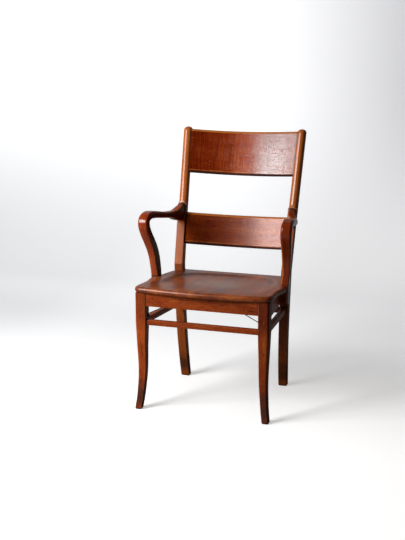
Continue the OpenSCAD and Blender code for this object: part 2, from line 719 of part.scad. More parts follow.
// Screws from the apron's inside into the foot of the arm
foot_screw_l = apron_t + arm_foot_w - 11;
module arm_foot_screws_at(hole) {
    for (i = [-1, 1])
        translate([arm_in() - apron_t / cos(apron_turn), arm_foot_y + arm_foot_d * i / 6,
            apron_side_z + side_tenon_h + (i - 0.04) * 10.5 + 2])
        rotate([0, 0, apron_turn])
        rotate([0, -90, 0])
        translate([0, 0, -3])
        if (hole) screw_hole(foot_screw_l, 20);
        else screw(foot_screw_l);
}
// Screw through the post into the end of the arm, from behind, and the plug over its head
arm_screw_z = (arm_end_z + 5 - bend_z) / cos(rake);
module arm_screw_at(hole) {
    on_back()
    translate([post_out(bend_z + arm_screw_z * cos(rake)) - post_w / 2, 16, arm_screw_z])
    rotate([-90, 0, 0])
    if (hole) screw_hole(40, 30);
    else screw(40);
}
module arm_plug_at(gap) {
    on_back()
    translate([post_out(bend_z + arm_screw_z * cos(rake)) - post_w / 2, 19.5, arm_screw_z])
    rotate([-90, 0, 0])
    cylinder(d = plug_d + 2 * gap, h = gap > 0 ? 20 : 7.2, $fn = 32);
}

// Corner blocks under the seat
block_z = seat_z(40) - seat_t - 3 - block_h;
module front_block_at() {
    y = leg_s + block_l;
    intersection() {
        translate([0, 0, block_z])
        linear_extrude(height = block_h + 30)
        difference() {
            polygon([[leg_in - block_l, apron_inset + apron_t],
                     [apron_out(0) - apron_t - 0.4, apron_inset + apron_t],
                     [apron_out(leg_s) - apron_t / cos(apron_turn), leg_s],
                     [apron_out(y) - apron_t / cos(apron_turn), y],
                     [apron_out(y) - apron_t - 8, y], [leg_in - block_l, apron_inset + apron_t + 8]]);
            translate([leg_in - 0.3, 0])
            square([60, leg_s + 0.3]);
        }
        below_seat();
    }
}
block_drop = (post_y - leg_s) * tan(seat_tilt);
module rear_block_at() {
    y = post_y + post_d - 3 - apron_rear_t;
    x = post_in(apron_mid_z);
    y1 = post_y - block_l;
    intersection() {
        translate([0, 0, block_z - block_drop])
        linear_extrude(height = block_h + 30)
        difference() {
            polygon([[x - block_l, y], [x, y], [x, post_y - 0.4],
                     [apron_out(post_y - 0.4) - apron_t / cos(apron_turn), post_y - 0.4],
                     [apron_out(y1) - apron_t / cos(apron_turn), y1],
                     [apron_out(y1) - apron_t - 8, y1], [x - block_l, y - 8]]);
            translate([post_in(apron_side_z) - 0.3, post_y - 0.4])
            square([60, 60]);
        }
        below_seat();
    }
}
// Places of the block screws: two into the aprons and one up into the seat for each block
module block_screws_front(hole) {
    // Into the front apron
    translate([leg_in - 0.6 * block_l, apron_inset + apron_t + 14, block_z + 9])
    rotate([-90, 0, 0])
    if (hole) screw_hole(28, 60);
    else screw(28);
    // Into the side apron
    translate([apron_out(leg_s) - apron_t - 14, leg_s + 0.6 * block_l, block_z + 9])
    rotate([0, 0, apron_turn])
    rotate([0, -90, 0])
    if (hole) screw_hole(28, 60);
    else screw(28);
}
module block_screws_rear(hole) {
    y = post_y + post_d - 3 - apron_rear_t;
    z = block_z - block_drop + 9;
    translate([post_in(apron_mid_z) - 0.6 * block_l, y - 14, z])
    rotate([90, 0, 0])
    if (hole) screw_hole(26, 60);
    else screw(26);
    translate([apron_out(post_y) - apron_t - 12, post_y - 0.6 * block_l, z])
    rotate([0, 0, apron_turn])
    rotate([0, -90, 0])
    if (hole) screw_hole(28, 60);
    else screw(28);
}
module seat_screw_at(hole) {
    for (p = [[leg_in - 10, leg_s + 12, block_z],
              [post_in(apron_mid_z) - 8, post_y - 14, block_z - block_drop]])
        translate(p)
        rotate([180, 0, 0])
        if (hole) screw_hole(34, 10);
        else screw(34);
}
module corner_block_front() {
    color(wood_dark)
    placed()
    difference() {
        front_block_at();
        block_screws_front(true);
        seat_screw_at(true);
    }
}
module corner_block_rear() {
    color(wood_dark)
    placed()
    difference() {
        rear_block_at();
        block_screws_rear(true);
        seat_screw_at(true);
    }
}

// Steel wire brace from the inner side of the front leg up to the underside of the seat
wire_y = 31;
wire_r = wire_d / 2;
eye_r = 5.2;
eye_t = 3.4;
tongue_l = 9.4;
wire_top_x = 45;
function wire_top_z() = seat_z(wire_y + eye_r) - seat_t / cos(seat_tilt) - eye_t - 0.02;
module rod(a, b, r) {
    v = b - a;
    translate(a)
    rotate([0, acos(v[2] / norm(v)), atan2(v[1], v[0])])
    cylinder(r = r, h = norm(v), $fn = 24);
}
// Flattened end of the wire, eye_t thick, with its screw hole; its tongue runs along +X
module wire_eye() {
    union() {
        cylinder(r = eye_r, h = eye_t, $fn = 40);
        translate([0, -2.3, 0])
        cube([tongue_l, 4.6, eye_t]);
    }
}
module brace_wire() {
    a = [leg_in - 0.02 - eye_t, wire_y, wire_z];
    b = [wire_top_x, wire_y, wire_top_z()];
    color(steel)
    placed()
    difference() {
        union() {
            translate(a)
            rotate([0, -90, 0])
            translate([0, 0, -eye_t])
            wire_eye();
            translate(b)
            wire_eye();
            rod([leg_in - 0.02 - eye_t / 2, wire_y, wire_z + tongue_l - 2],
                [wire_top_x + tongue_l - 2, wire_y, b[2] + eye_t / 2], wire_r);
        }
        translate([leg_in - 10, wire_y, wire_z])
        rotate([0, 90, 0])
        cylinder(r = 2, h = 20, $fn = 24);
        translate([b[0], b[1], b[2] - 5])
        cylinder(r = 2, h = 20, $fn = 24);
    }
}
// Round-headed screws through the eyes: one into the leg, one up into the seat
module round_screw(l) {
    intersection() {
        translate([0, 0, -1.2])
        sphere(r = 3.6, $fn = 40);
        cylinder(r = 6, h = 6, $fn = 24);
    }
    translate([0, 0, -l])
    cylinder(r = 1.9, h = l + 0.01, $fn = 24);
}
module wire_screw_at(hole) {
    translate([leg_in - eye_t - 0.04, wire_y, wire_z])
    rotate([0, -90, 0])
    if (hole) translate([0, 0, -18]) cylinder(r = 2, h = 18, $fn = 24);
    else round_screw(17);
}
module wire_screw_top(hole) {
    translate([wire_top_x, wire_y, wire_top_z() - 0.02])
    rotate([180, 0, 0])
    if (hole) translate([0, 0, -16]) cylinder(r = 2, h = 16, $fn = 24);
    else round_screw(15);
}

module both() {
    children();
    mirror([1, 0, 0])
    children();
}

module back_post_left() { mirror([1, 0, 0]) back_post(); }
module back_post_right() { back_post(); }
module front_leg_left() { mirror([1, 0, 0]) front_leg(); }
module front_leg_right() { front_leg(); }
module crest_rail() { back_rail(crest_lo, crest_h, crest_bow); }
module lower_back_slat() { back_rail(slat_lo, slat_h, slat_bow); }
module left_apron() { mirror([1, 0, 0]) side_apron(); }
module right_apron() { side_apron(); }
module left_stretcher() { mirror([1, 0, 0]) side_stretcher(); }
module right_stretcher() { side_stretcher(); }
module arm_left() { mirror([1, 0, 0]) arm(); }
module arm_right() { arm(); }
module corner_block_front_left() { mirror([1, 0, 0]) corner_block_front(); }
module corner_block_front_right() { corner_block_front(); }
module corner_block_rear_left() { mirror([1, 0, 0]) corner_block_rear(); }
module corner_block_rear_right() { corner_block_rear(); }
module brace_wire_left() { mirror([1, 0, 0]) brace_wire(); }
module brace_wire_right() { brace_wire(); }
module brace_screws() {
    color(steel) placed() both() {
        wire_screw_at(false);
        wire_screw_top(false);
    }
}
module block_screws() {
    color(steel) placed() both() {
        block_screws_front(false);
        block_screws_rear(false);
    }
}
module seat_screws() { color(steel) placed() both() seat_screw_at(false); }
module arm_foot_screws() { color(steel) placed() both() arm_foot_screws_at(false); }
module arm_post_screws() { color(steel) placed() both() arm_screw_at(false); }
module arm_plugs() { color(wood_dark) placed() both() arm_plug_at(0); }

back_post_left();
back_post_right();
front_leg_left();
front_leg_right();
crest_rail();
lower_back_slat();
seat();
front_apron();
rear_apron();
left_apron();
right_apron();
front_stretcher();
rear_stretcher();
left_stretcher();
right_stretcher();
arm_left();
arm_right();
corner_block_front_left();
corner_block_front_right();
corner_block_rear_left();
corner_block_rear_right();
brace_wire_left();
brace_wire_right();
brace_screws();
block_screws();
seat_screws();
arm_foot_screws();
arm_post_screws();
arm_plugs();
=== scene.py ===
"""Looks of a bent-arm wooden office chair: stained and varnished wood, steel braces and studio."""

import logging
import math
from dataclasses import dataclass, field
from enum import Enum
from typing import Callable, Optional, Sequence, Union

import bmesh
import bpy
from mathutils import Matrix, Vector


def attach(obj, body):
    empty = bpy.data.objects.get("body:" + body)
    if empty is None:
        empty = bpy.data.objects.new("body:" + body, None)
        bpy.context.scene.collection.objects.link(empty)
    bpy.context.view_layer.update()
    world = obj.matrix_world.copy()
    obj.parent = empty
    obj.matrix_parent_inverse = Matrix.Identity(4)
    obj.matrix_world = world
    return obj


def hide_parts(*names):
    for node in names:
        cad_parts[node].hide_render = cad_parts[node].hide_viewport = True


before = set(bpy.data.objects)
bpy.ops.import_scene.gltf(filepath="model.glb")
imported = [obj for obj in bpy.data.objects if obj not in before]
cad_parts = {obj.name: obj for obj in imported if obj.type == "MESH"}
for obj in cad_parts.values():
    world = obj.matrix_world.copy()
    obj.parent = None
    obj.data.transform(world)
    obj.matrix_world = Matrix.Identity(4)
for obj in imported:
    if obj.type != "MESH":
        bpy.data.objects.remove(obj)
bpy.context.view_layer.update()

LOG = logging.getLogger("chair")
Place = tuple[float, float, float]
Colour = tuple[float, float, float]
Outline = list[tuple[float, float, float]]
# Weights each wood vertex carries: edge wear with painted sheen, dirt with painted shade, use, and staining with
# painted shade.
WEIGHTS = ("arris", "grime", "use", "stain")
SHARP = 38.0
# Strength and reach in millimetres of the painted shade beside joints.
JOINT_SHADE = 0.8
JOINT_SHADE_REACH = 8.0


# ---------------------------------------------------------------- curves and sections


def rise(value: float, start: float, reach: float) -> float:
    """Smooth rise of a value, from 0 at start to 1 where it lies reach beyond it."""
    u = min(1.0, max(0.0, (value - start) / reach))
    return u * u * (3 - 2 * u)


def fade(value: float, start: float, reach: float) -> float:
    """Smooth fall of a value, from 1 at start to 0 where it lies reach beyond it."""
    return 1 - rise(value, start, reach)


def through(knots: Sequence[tuple[float, float]], t: float) -> float:
    """Height of a smooth curve through knots.

    Args:
        knots: Places and heights, in rising order of place.
        t: The place asked for.

    Returns:
        The curve's height at t.
    """
    last = len(knots) - 1
    i = 0
    while i < last - 1 and t >= knots[i + 1][0]:
        i += 1

    def slope(k: int) -> float:
        """Slope at knot k, from its neighbours."""
        a, b = knots[max(0, k - 1)], knots[min(last, k + 1)]
        return (b[1] - a[1]) / (b[0] - a[0])

    h = knots[i + 1][0] - knots[i][0]
    u = (t - knots[i][0]) / h
    return (
        (2 * u**3 - 3 * u**2 + 1) * knots[i][1]
        + (u**3 - 2 * u**2 + u) * h * slope(i)
        + (3 * u**2 - 2 * u**3) * knots[i + 1][1]
        + (u**3 - u**2) * h * slope(i + 1)
    )


def spline(a: Vector, b: Vector, c: Vector, d: Vector, t: float) -> Vector:
    """Point of a curve that passes through b and c.

    Args:
        a: The knot before b.
        b: Where the span begins.
        c: Where the span ends.
        d: The knot after c.
        t: Place in the span, 0 to 1.

    Returns:
        The point at t.
    """
    return 0.5 * (
        2 * b + (c - a) * t + (2 * a - 5 * b + 4 * c - d) * t * t + (3 * b - a - 3 * c + d) * t**3
    )


def rounded(w: float, d: float, rf: float, rb: float, q: int = 5, ro: Optional[float] = None) -> Outline:
    """Outline of a rounded rectangle about the origin.

    Args:
        w: Width, along the first axis.
        d: Depth, along the second axis.
        rf: Radius of the two front corners.
        rb: Radius of the two rear corners.
        q: Spans in each corner.
        ro: Radius of the outer front corner, where it differs and shows no wear.

    Returns:
        Points with the weight of the arris in each, 1 in the middle of a tight corner.
    """
    made: Outline = []
    for turn, sx, sy, r in ((0, -1, -1, rf), (1, 1, -1, ro or rf), (2, 1, 1, rb), (3, -1, 1, rb)):
        cx, cy = sx * (w / 2 - r), sy * (d / 2 - r)
        for i in range(q + 1):
            angle = math.pi + (turn + i / q) * math.pi / 2
            fresh = min(1.0, max(0.0, (11 - r) / 3)) if ro is None or turn != 1 else 0.0
            weight = math.sin(math.pi * i / q) * fresh
            made.append((cx + r * math.cos(angle), cy + r * math.sin(angle), weight))
    return made


def bump(value: float, middle: float, width: float) -> float:
    """A smooth bump of a value, 1 at its middle."""
    return math.exp(-(((value - middle) / width) ** 2))


# ---------------------------------------------------------------- lines of the whole chair


@dataclass(frozen=True)
class Lines:
    """Lines that several pieces share, in millimetres. Y is 0 at the front face of the legs."""

    front_w: float = 497.0
    leg_s: float = 39.5
    post_foot_w: float = 433.0
    post_splay: float = 0.0277
    post_w: float = 29.0
    post_d: float = 35.5
    post_foot_d: float = 26.5
    post_top_d: float = 28.0
    post_over: float = 4.8
    post_taper: float = 170.0
    post_y: float = 370.0
    post_sweep: float = 40.0
    post_knee: float = 300.0
    sweep_power: float = 1.8
    bend_z: float = 470.0
    rake: float = math.radians(16.16)
    seat_h: float = 463.0
    seat_h_y: float = -15.0
    seat_tilt: float = math.radians(2.45)
    seat_t: float = 22.5
    seat_front: float = 27.0
    seat_half_w: float = 256.5
    seat_back: float = 407.5
    arm_top: float = 705.0
    crest_lo: float = 365.0
    crest_h: float = 173.5
    crest_bow: float = 31.0
    slat_lo: float = 83.0
    slat_h: float = 125.0
    rail_t: float = 19.0
    rail_inset: float = 6.0
    apron_t: float = 20.0
    apron_front_z: float = 392.0
    apron_side_z: float = 383.5
    apron_inset: float = 2.4
    apron_side_inset: float = 1.5

    @property
    def leg_out(self) -> float:
        """Outer face of the front legs."""
        return self.front_w / 2

    @property
    def leg_in(self) -> float:
        """Inner face of the front legs."""
        return self.leg_out - self.leg_s

    @property
    def mid_y(self) -> float:
        """Middle of the chair from front to back, which lies over the origin.

        Returns:
            Its distance behind the front face of the legs.
        """
        r = self.rail_t / 2 - 0.5
        back = (
            self.post_y
            + (self.rail_inset + self.crest_bow + self.rail_t - r) * math.cos(self.rake)
            + (self.crest_lo + self.crest_h - r) * math.sin(self.rake)
            + r
        )
        return (back - self.seat_front) / 2

    @property
    def post_top(self) -> float:
        """Top of the back posts."""
        return self.bend_z + (self.crest_lo + self.crest_h) * math.cos(self.rake) + self.post_over

    def seat_z(self, y: float) -> float:
        """Height of the seat's top plane at y."""
        return self.seat_h - (y - self.seat_h_y) * math.tan(self.seat_tilt)

    def under_seat(self, y: float) -> float:
        """Height of the seat's underside at y."""
        return self.seat_z(y) - self.seat_t / math.cos(self.seat_tilt)

    def post_out(self, z: float) -> float:
        """Outer face of a back post at height z."""
        return self.post_foot_w / 2 + self.post_splay * z

    def post_in(self, z: float) -> float:
        """Inner face of a back post at height z."""
        return self.post_out(z) - self.post_w

    def post_front(self, z: float) -> float:
        """Front face of a back post at height z.

        Args:
            z: The height.

        Returns:
            The face's y.
        """
        if z < self.post_knee:
            return self.post_y + self.post_sweep * ((self.post_knee - z) / self.post_knee) ** self.sweep_power
        return self.post_y + max(0.0, z - self.bend_z) * math.tan(self.rake)

    def post_depth(self, z: float) -> float:
        """Depth of a back post at height z.

        Args:
            z: The height.

        Returns:
            The depth.
        """
        if z < self.post_knee:
            lean = 1 - ((self.post_knee - z) / self.post_knee) ** self.sweep_power
            return self.post_foot_d + (self.post_d - self.post_foot_d) * lean
        return self.post_d + (self.post_top_d - self.post_d) * rise(z, self.bend_z, self.post_taper)

    def apron_out(self, y: float) -> float:
        """Outer face of the side aprons at y.

        Args:
            y: Place from front to back.

        Returns:
            The face's x.
        """
        x0 = self.leg_out - self.apron_side_inset
        x1 = self.post_out(self.apron_side_z + 22) - self.apron_side_inset
        return x0 + (x1 - x0) * (y - self.leg_s) / (self.post_y - self.leg_s)

    def raked(self, x: float, y: float, z: float) -> Vector:
        """A point given in the frame of the raked back: x, then behind its face, then up it."""
        c, s = math.cos(self.rake), math.sin(self.rake)
        return Vector((x, self.post_y + y * c + z * s, self.bend_z - y * s + z * c))


# ---------------------------------------------------------------- skins


@dataclass(frozen=True)
class Knot:
    """One point of a skin: its place, its place along and across the grain, its wear, its dirt and painted shade, and
    its darkening by staining and painted shade.
    """

    place: Vector
    grain: Vector
    arris: float = 0.0
    grime: float = 0.0
    use: float = 0.0
    stain: float = 0.0


class Side(Enum):
    """The side of the chair a piece stands on, as seen from the front."""

    LEFT = -1
    RIGHT = 1


def new_object(name: str, data: bpy.types.ID) -> bpy.types.Object:
    """Makes an object of that name and puts it in the scene.

    Args:
        name: Its name.
        data: What it holds.

    Returns:
        The new object.
    """
    made = bpy.data.objects.new(name, data)
    bpy.context.scene.collection.objects.link(made)
    return made


def mesh_object(name: str, work: bmesh.types.BMesh, sharp: Optional[float] = None) -> bpy.types.Object:
    """Turns a mesh being worked on into a smooth object of the scene.

    Args:
        name: Name of the mesh and the object.
        work: The mesh being worked on, which is freed.
        sharp: Angle in degrees above which an edge stays sharp, or None.

    Returns:
        The new object.
    """
    mesh = bpy.data.meshes.new(name)
    work.to_mesh(mesh)
    work.free()
    mesh.shade_smooth()
    if sharp is not None:
        mesh.set_sharp_from_angle(angle=math.radians(sharp))
    return new_object(name, mesh)


@dataclass
class Skin:
    """Collects rings of knots and turns them into one smooth mesh piece."""

    name: str
    lines: Lines
    seed: float = 0.0
    stain: float = 0.0
    mirrored: bool = False
    knots: list[Knot] = field(default_factory=list)
    faces: list[tuple[int, ...]] = field(default_factory=list)

    def loft(self, rings: Sequence[Sequence[Knot]]) -> None:
        """Adds a skin over rings with the same number of knots, with a face over each end.

        Args:
            rings: The rings, in order along the piece.
        """
        base, n, m = len(self.knots), len(rings[0]), len(rings)
        for ring in rings:
            self.knots.extend(ring)
        for a in range(base, base + (m - 1) * n, n):
            for i in range(n):
                j = (i + 1) % n
                self.faces.append((a + i, a + j, a + n + j, a + n + i))
        self.faces.append(tuple(base + i for i in reversed(range(n))))
        self.faces.append(tuple(base + (m - 1) * n + i for i in range(n)))

    def piece(
        self, trim: Optional[tuple[Vector, Vector]] = None, sharp: float = SHARP, even: bool = True
    ) -> bpy.types.Object:
        """Makes the mesh object, with its grain and its weights as attributes.

        Args:
            trim: A point and the outward normal of a plane that cuts the piece, or None.
            sharp: Angle in degrees above which an edge stays sharp.
            even: Whether broad faces keep their own normal beside rounded edges.

        Returns:
            The new object, in the row frame and in metres.
        """
        flip = -1.0 if self.mirrored else 1.0
        work = bmesh.new()
        grain = work.verts.layers.float_vector.new("grain")
        layers = [work.verts.layers.float.new(name) for name in WEIGHTS]
        shift = Vector([self.seed * share for share in (1.37, 0.61, 0.23)])
        made = []
        for knot in self.knots:
            x, y, z = knot.place
            vert = work.verts.new((flip * x / 1000, (y - self.lines.mid_y) / 1000, z / 1000))
            vert[grain] = knot.grain + shift
            for layer, weight in zip(layers, (knot.arris, knot.grime, knot.use, self.stain + knot.stain)):
                vert[layer] = weight
            made.append(vert)
        for corners in self.faces:
            order = corners[::-1] if self.mirrored else corners
            work.faces.new([made[i] for i in order])
        if trim is not None:
            point, normal = trim
            cut = bmesh.ops.bisect_plane(
                work,
                geom=[*work.verts, *work.edges, *work.faces],
                plane_co=Vector((flip * point.x, point.y - self.lines.mid_y, point.z)) / 1000,
                plane_no=Vector((flip * normal.x, normal.y, normal.z)),
                clear_outer=True,
            )
            rim = [edge for edge in cut["geom_cut"] if isinstance(edge, bmesh.types.BMEdge)]
            bmesh.ops.edgeloop_fill(work, edges=rim)
        bmesh.ops.recalc_face_normals(work, faces=work.faces[:])
        finished = mesh_object(self.name, work, sharp)
        if even:
            finished.modifiers.new("even_faces", "WEIGHTED_NORMAL").keep_sharp = True
        return finished


def bar(
    skin: Skin, path: Callable[[float, float, float], Vector], length: float, section: Outline, spans: int,
    stain: tuple[float, float] = (0.0, 0.0),
) -> None:
    """Adds a straight or gently bent bar whose ends go into joints, with painted shade beside them.

    Args:
        skin: The skin that takes the bar.
        path: Place of (along, across, up), all in millimetres, along running 0 to length.
        length: Length between the joints.
        section: Outline of the bar, across and up, with its arris weights.
        spans: Number of spans along the bar.
        stain: How dark the bar is stained at its two ends.
    """
    places = [0.0, 1.0, 2.5, 5.0, 9.0, 14.0]
    start = places[-1]
    middle = [start + (length - 2 * start) * i / spans for i in range(1, spans)]
    rings = []
    for t in places + middle + [length - place for place in reversed(places)]:
        # Painted shade that darkens the bar towards the joints at its ends.
        grime = JOINT_SHADE * fade(min(t, length - t), 0, JOINT_SHADE_REACH)
        tone = stain[0] + (stain[1] - stain[0]) * t / length
        rings.append([Knot(path(t, a, b), Vector((t, a, b)) / 1000, w, grime, 0.0, tone) for a, b, w in section])
    skin.loft(rings)


# ---------------------------------------------------------------- node helpers


class Weave:
    """Small helper that adds nodes to one tree and links them."""

    def __init__(self, tree: bpy.types.NodeTree) -> None:
        """Keeps the tree that the nodes go into."""
        self.tree = tree

    def feed(self, node: bpy.types.Node, inputs: dict[Union[int, str], object]) -> None:
        """Links outputs to a node's inputs, or sets them to plain values.

        Args:
            node: The node.
            inputs: Output or plain value for each input, by its name or number.
        """
        for key, source in inputs.items():
            if isinstance(source, bpy.types.NodeSocket):
                self.tree.links.new(source, node.inputs[key])
            else:
                node.inputs[key].default_value = source

    def node(
        self, kind: str, inputs: Optional[dict[Union[int, str], object]] = None, **values: object
    ) -> bpy.types.Node:
        """Adds a shader node.

        Args:
            kind: Blender's name of its type, without ShaderNode in front.
            inputs: Output or plain value for each input, by its name or number.
            values: Attributes of the node to set.

        Returns:
            The new node.
        """
        made = self.tree.nodes.new(f"ShaderNode{kind}")
        for key, value in values.items():
            setattr(made, key, value)
        self.feed(made, inputs or {})
        return made

    def maths(self, kind: str, a: object, b: object, clamp: bool = False) -> object:
        """Adds a Math node of that kind over a and b and returns its output."""
        return self.node("Math", {0: a, 1: b}, operation=kind, use_clamp=clamp).outputs[0]

    def plus(self, a: object, b: object) -> object:
        """The sum of a and b."""
        return self.maths("ADD", a, b)

    def minus(self, a: object, b: object) -> object:
        """The difference of a and b."""
        return self.maths("SUBTRACT", a, b)

    def times(self, a: object, b: object) -> object:
        """The product of a and b."""
        return self.maths("MULTIPLY", a, b)

    def remap(self, value: object, low: float, high: float, to: tuple[float, float] = (0, 1)) -> object:
        """Maps a value smoothly from the range low to high onto another range, and clamps it."""
        ends = {"Value": value, "From Min": low, "From Max": high, "To Min": to[0], "To Max": to[1]}
        return self.node("MapRange", ends, interpolation_type="SMOOTHSTEP", clamp=True).outputs["Result"]

    def noise(
        self, vector: object, scale: Union[float, Place], detail: float = 2.0, rough: float = 0.5, at: Place = (0, 0, 0)
    ) -> object:
        """Adds a noise pattern.

        Args:
            vector: The coordinate it reads.
            scale: Its scale, or one scale for each axis.
            detail: Number of finer layers.
            rough: Strength of the finer layers.
            at: Shift of the coordinate, where the scale differs by axis.

        Returns:
            Its value output.
        """
        if isinstance(scale, tuple):
            vector, scale = self.stretch(vector, scale, at), 1.0
        inputs = {"Vector": vector, "Scale": scale, "Detail": detail, "Roughness": rough}
        return self.node("TexNoise", inputs).outputs["Fac"]

    def stretch(self, vector: object, scale: Place, at: Place = (0, 0, 0)) -> object:
        """Scales a coordinate along each axis and moves it."""
        inputs = {"Vector": vector, "Scale": scale, "Location": at}
        return self.node("Mapping", inputs, vector_type="POINT").outputs["Vector"]

    def blend(self, amount: object, a: object, b: object, kind: str = "MIX") -> object:
        """Mixes two colours.

        Args:
            amount: How much of the second colour shows, 0 to 1.
            a: The first colour.
            b: The second colour.
            kind: Blend mode.

        Returns:
            The mixed colour output.
        """
        made = self.node("Mix", data_type="RGBA", blend_type=kind, clamp_factor=True)
        self.feed(made, {0: amount})
        for source, name in ((a, "A_Color"), (b, "B_Color")):
            number = [socket.identifier for socket in made.inputs].index(name)
            self.feed(made, {number: (*source, 1.0) if isinstance(source, tuple) else source})
        return next(socket for socket in made.outputs if socket.identifier == "Result_Color")


def new_material(name: str) -> tuple[bpy.types.Material, Weave]:
    """Makes a material with nodes and a helper for its tree.

    Args:
        name: Its name.

    Returns:
        The material and the helper.
    """
    made = bpy.data.materials.new(name)
    made.use_nodes = True
    return made, Weave(made.node_tree)


def new_group(name: str, inputs: dict[str, object], outputs: Sequence[str]) -> tuple[Weave, object, object]:
    """Makes an empty shader node group with named sockets.

    Args:
        name: Name of the group.
        inputs: Default of each input, None for a vector.
        outputs: Name of each output. Color is a colour, and the others are numbers.

    Returns:
        A helper for its tree, what its input node gives and what its output node takes.
    """
    tree = bpy.data.node_groups.new(name, "ShaderNodeTree")
    for label, default in inputs.items():
        kind = "Vector" if default is None else "Color" if isinstance(default, tuple) else "Float"
        socket = tree.interface.new_socket(label, in_out="INPUT", socket_type=f"NodeSocket{kind}")
        if default is not None:
            socket.default_value = default
    for label in outputs:
        kind = "Color" if label == "Color" else "Float"
        tree.interface.new_socket(label, in_out="OUTPUT", socket_type=f"NodeSocket{kind}")
    source, sink = (tree.nodes.new(f"NodeGroup{end}") for end in ("Input", "Output"))
    return Weave(tree), source.outputs, sink.inputs


def build_grain_group() -> bpy.types.NodeTree:
    """Builds the group that draws stained wood: growth bands, pores, ray ripple and the staining colours.

    Returns:
        The group. X of its Grain input runs along the wood's fibres, in metres.
    """
    weave, source, sink = new_group(
        "stained_grain",
        {
            "Grain": None, "Dark": (0.1, 0.03, 0.01, 1), "Middle": (0.25, 0.08, 0.03, 1),
            "Light": (0.4, 0.15, 0.05, 1), "Bands": 0.6, "Fibres": 0.45, "Ripple": 0.2, "Mottle": 0.5, "Pores": 0.4,
        },
        ("Color", "Height", "Gloss"),
    )
    grain = source["Grain"]
    drift = weave.node("TexNoise", {"Vector": weave.stretch(grain, (5, 12, 12)), "Scale": 1.0})
    warp = {0: drift.outputs["Color"], 1: (0.03, 0.022, 0.022), 2: grain}
    bent = weave.node("VectorMath", warp, operation="MULTIPLY_ADD").outputs[0]

    def swing(value: object, amount: object) -> object:
        """How far a pattern pulls the tone up or down."""
        return weave.times(weave.minus(value, 0.5), amount)

    bands = weave.noise(bent, (1.4, 48, 48), 2.5, 0.6)
    fine = weave.noise(bent, (14, 420, 420), 1.5, 0.6, (2.2, 0.4, 8.1))
    pores = weave.remap(weave.noise(bent, (45, 900, 900), 0.0), 0.6, 0.72)
    blotch = weave.noise(grain, (9, 15, 15), 3.0, 0.6, (7.7, 2.2, 5.1))
    cloud = weave.noise(grain, (2.2, 3.4, 3.4), 1.0, 0.5, (0.3, 6.2, 1.4))
    ripple = swing(weave.noise(bent, (250, 6, 6), 1.0, 0.5, (1.3, 4.2, 0.9)), source["Ripple"])
    ripple = weave.times(ripple, weave.remap(cloud, 0.3, 0.55, (0.35, 1.0)))
    tone = weave.plus(0.5, swing(bands, source["Bands"]))
    for part in (swing(fine, source["Fibres"]), swing(blotch, source["Mottle"]), ripple):
        tone = weave.plus(tone, part)
    low = weave.blend(weave.remap(tone, 0.24, 0.5), source["Dark"], source["Middle"])
    full = weave.blend(weave.remap(tone, 0.5, 0.78), low, source["Light"])
    inked = weave.blend(weave.times(pores, source["Pores"]), full, source["Dark"], "MULTIPLY")
    relief = weave.plus(weave.minus(weave.times(fine, 0.35), weave.times(pores, 0.65)), weave.times(ripple, 0.25))
    gloss = weave.plus(weave.times(blotch, 0.5), weave.times(fine, 0.5))
    for output, socket in zip((inked, relief, gloss), sink):
        weave.tree.links.new(output, socket)
    return weave.tree


def build_wear_group() -> bpy.types.NodeTree:
    """Builds the group that turns arris and dirt-and-shade weights into broken masks of wear, partly painted sheen, and
    of dirt with painted shade.

    Returns:
        The group.
    """
    weave, source, sink = new_group(
        "worn_edges",
        {"Place": None, "Arris": 0.0, "Grime": 0.0, "Use": 0.0, "Wear": 0.6},
        ("Rubbed", "Dirt", "Nicks", "Scratch", "Used"),
    )
    place, arris, grime, use = (source[label] for label in ("Place", "Arris", "Grime", "Use"))
    patch = weave.noise(place, 38.0, 3.0, 0.6)
    # Worn edges, which along the back rails and the rim of the seat's dish also paint sheen.
    rubbed = weave.remap(weave.plus(weave.times(arris, source["Wear"]), weave.times(patch, 0.7)), 0.55, 1.15)
    rubbed = weave.times(rubbed, weave.remap(arris, 0.02, 0.5))
    # Dirt mask, which also lays painted shade at joints, under the seat, round the feet and inside the seat's dish.
    dirt = weave.remap(weave.plus(grime, weave.times(patch, 0.55)), 0.42, 1.1)
    dirt = weave.times(dirt, weave.remap(grime, 0.0, 0.25))
    nicks = weave.remap(weave.noise(place, 210.0, 2.0, 0.55), 0.71, 0.77)
    scratch = weave.remap(weave.noise(place, (60, 340, 340), 1.0, 0.4, (0.4, 2.6, 1.1)), 0.66, 0.76)
    broken = weave.plus(use, weave.times(weave.minus(patch, 0.5), 0.9))
    used = weave.times(weave.remap(broken, 0.2, 1.0), weave.remap(use, 0.0, 0.3))
    for output, socket in zip((rubbed, dirt, nicks, scratch, used), sink):
        weave.tree.links.new(output, socket)
    return weave.tree


# ---------------------------------------------------------------- finishes


class GrainFrom(Enum):
    """Where a finish takes the direction of its grain from, with the turn that lays it along X."""

    PIECE = None
    ALONG_X = (0.0, 0.0, 0.0)
    ALONG_Z = (0.0, math.pi / 2, 0.0)


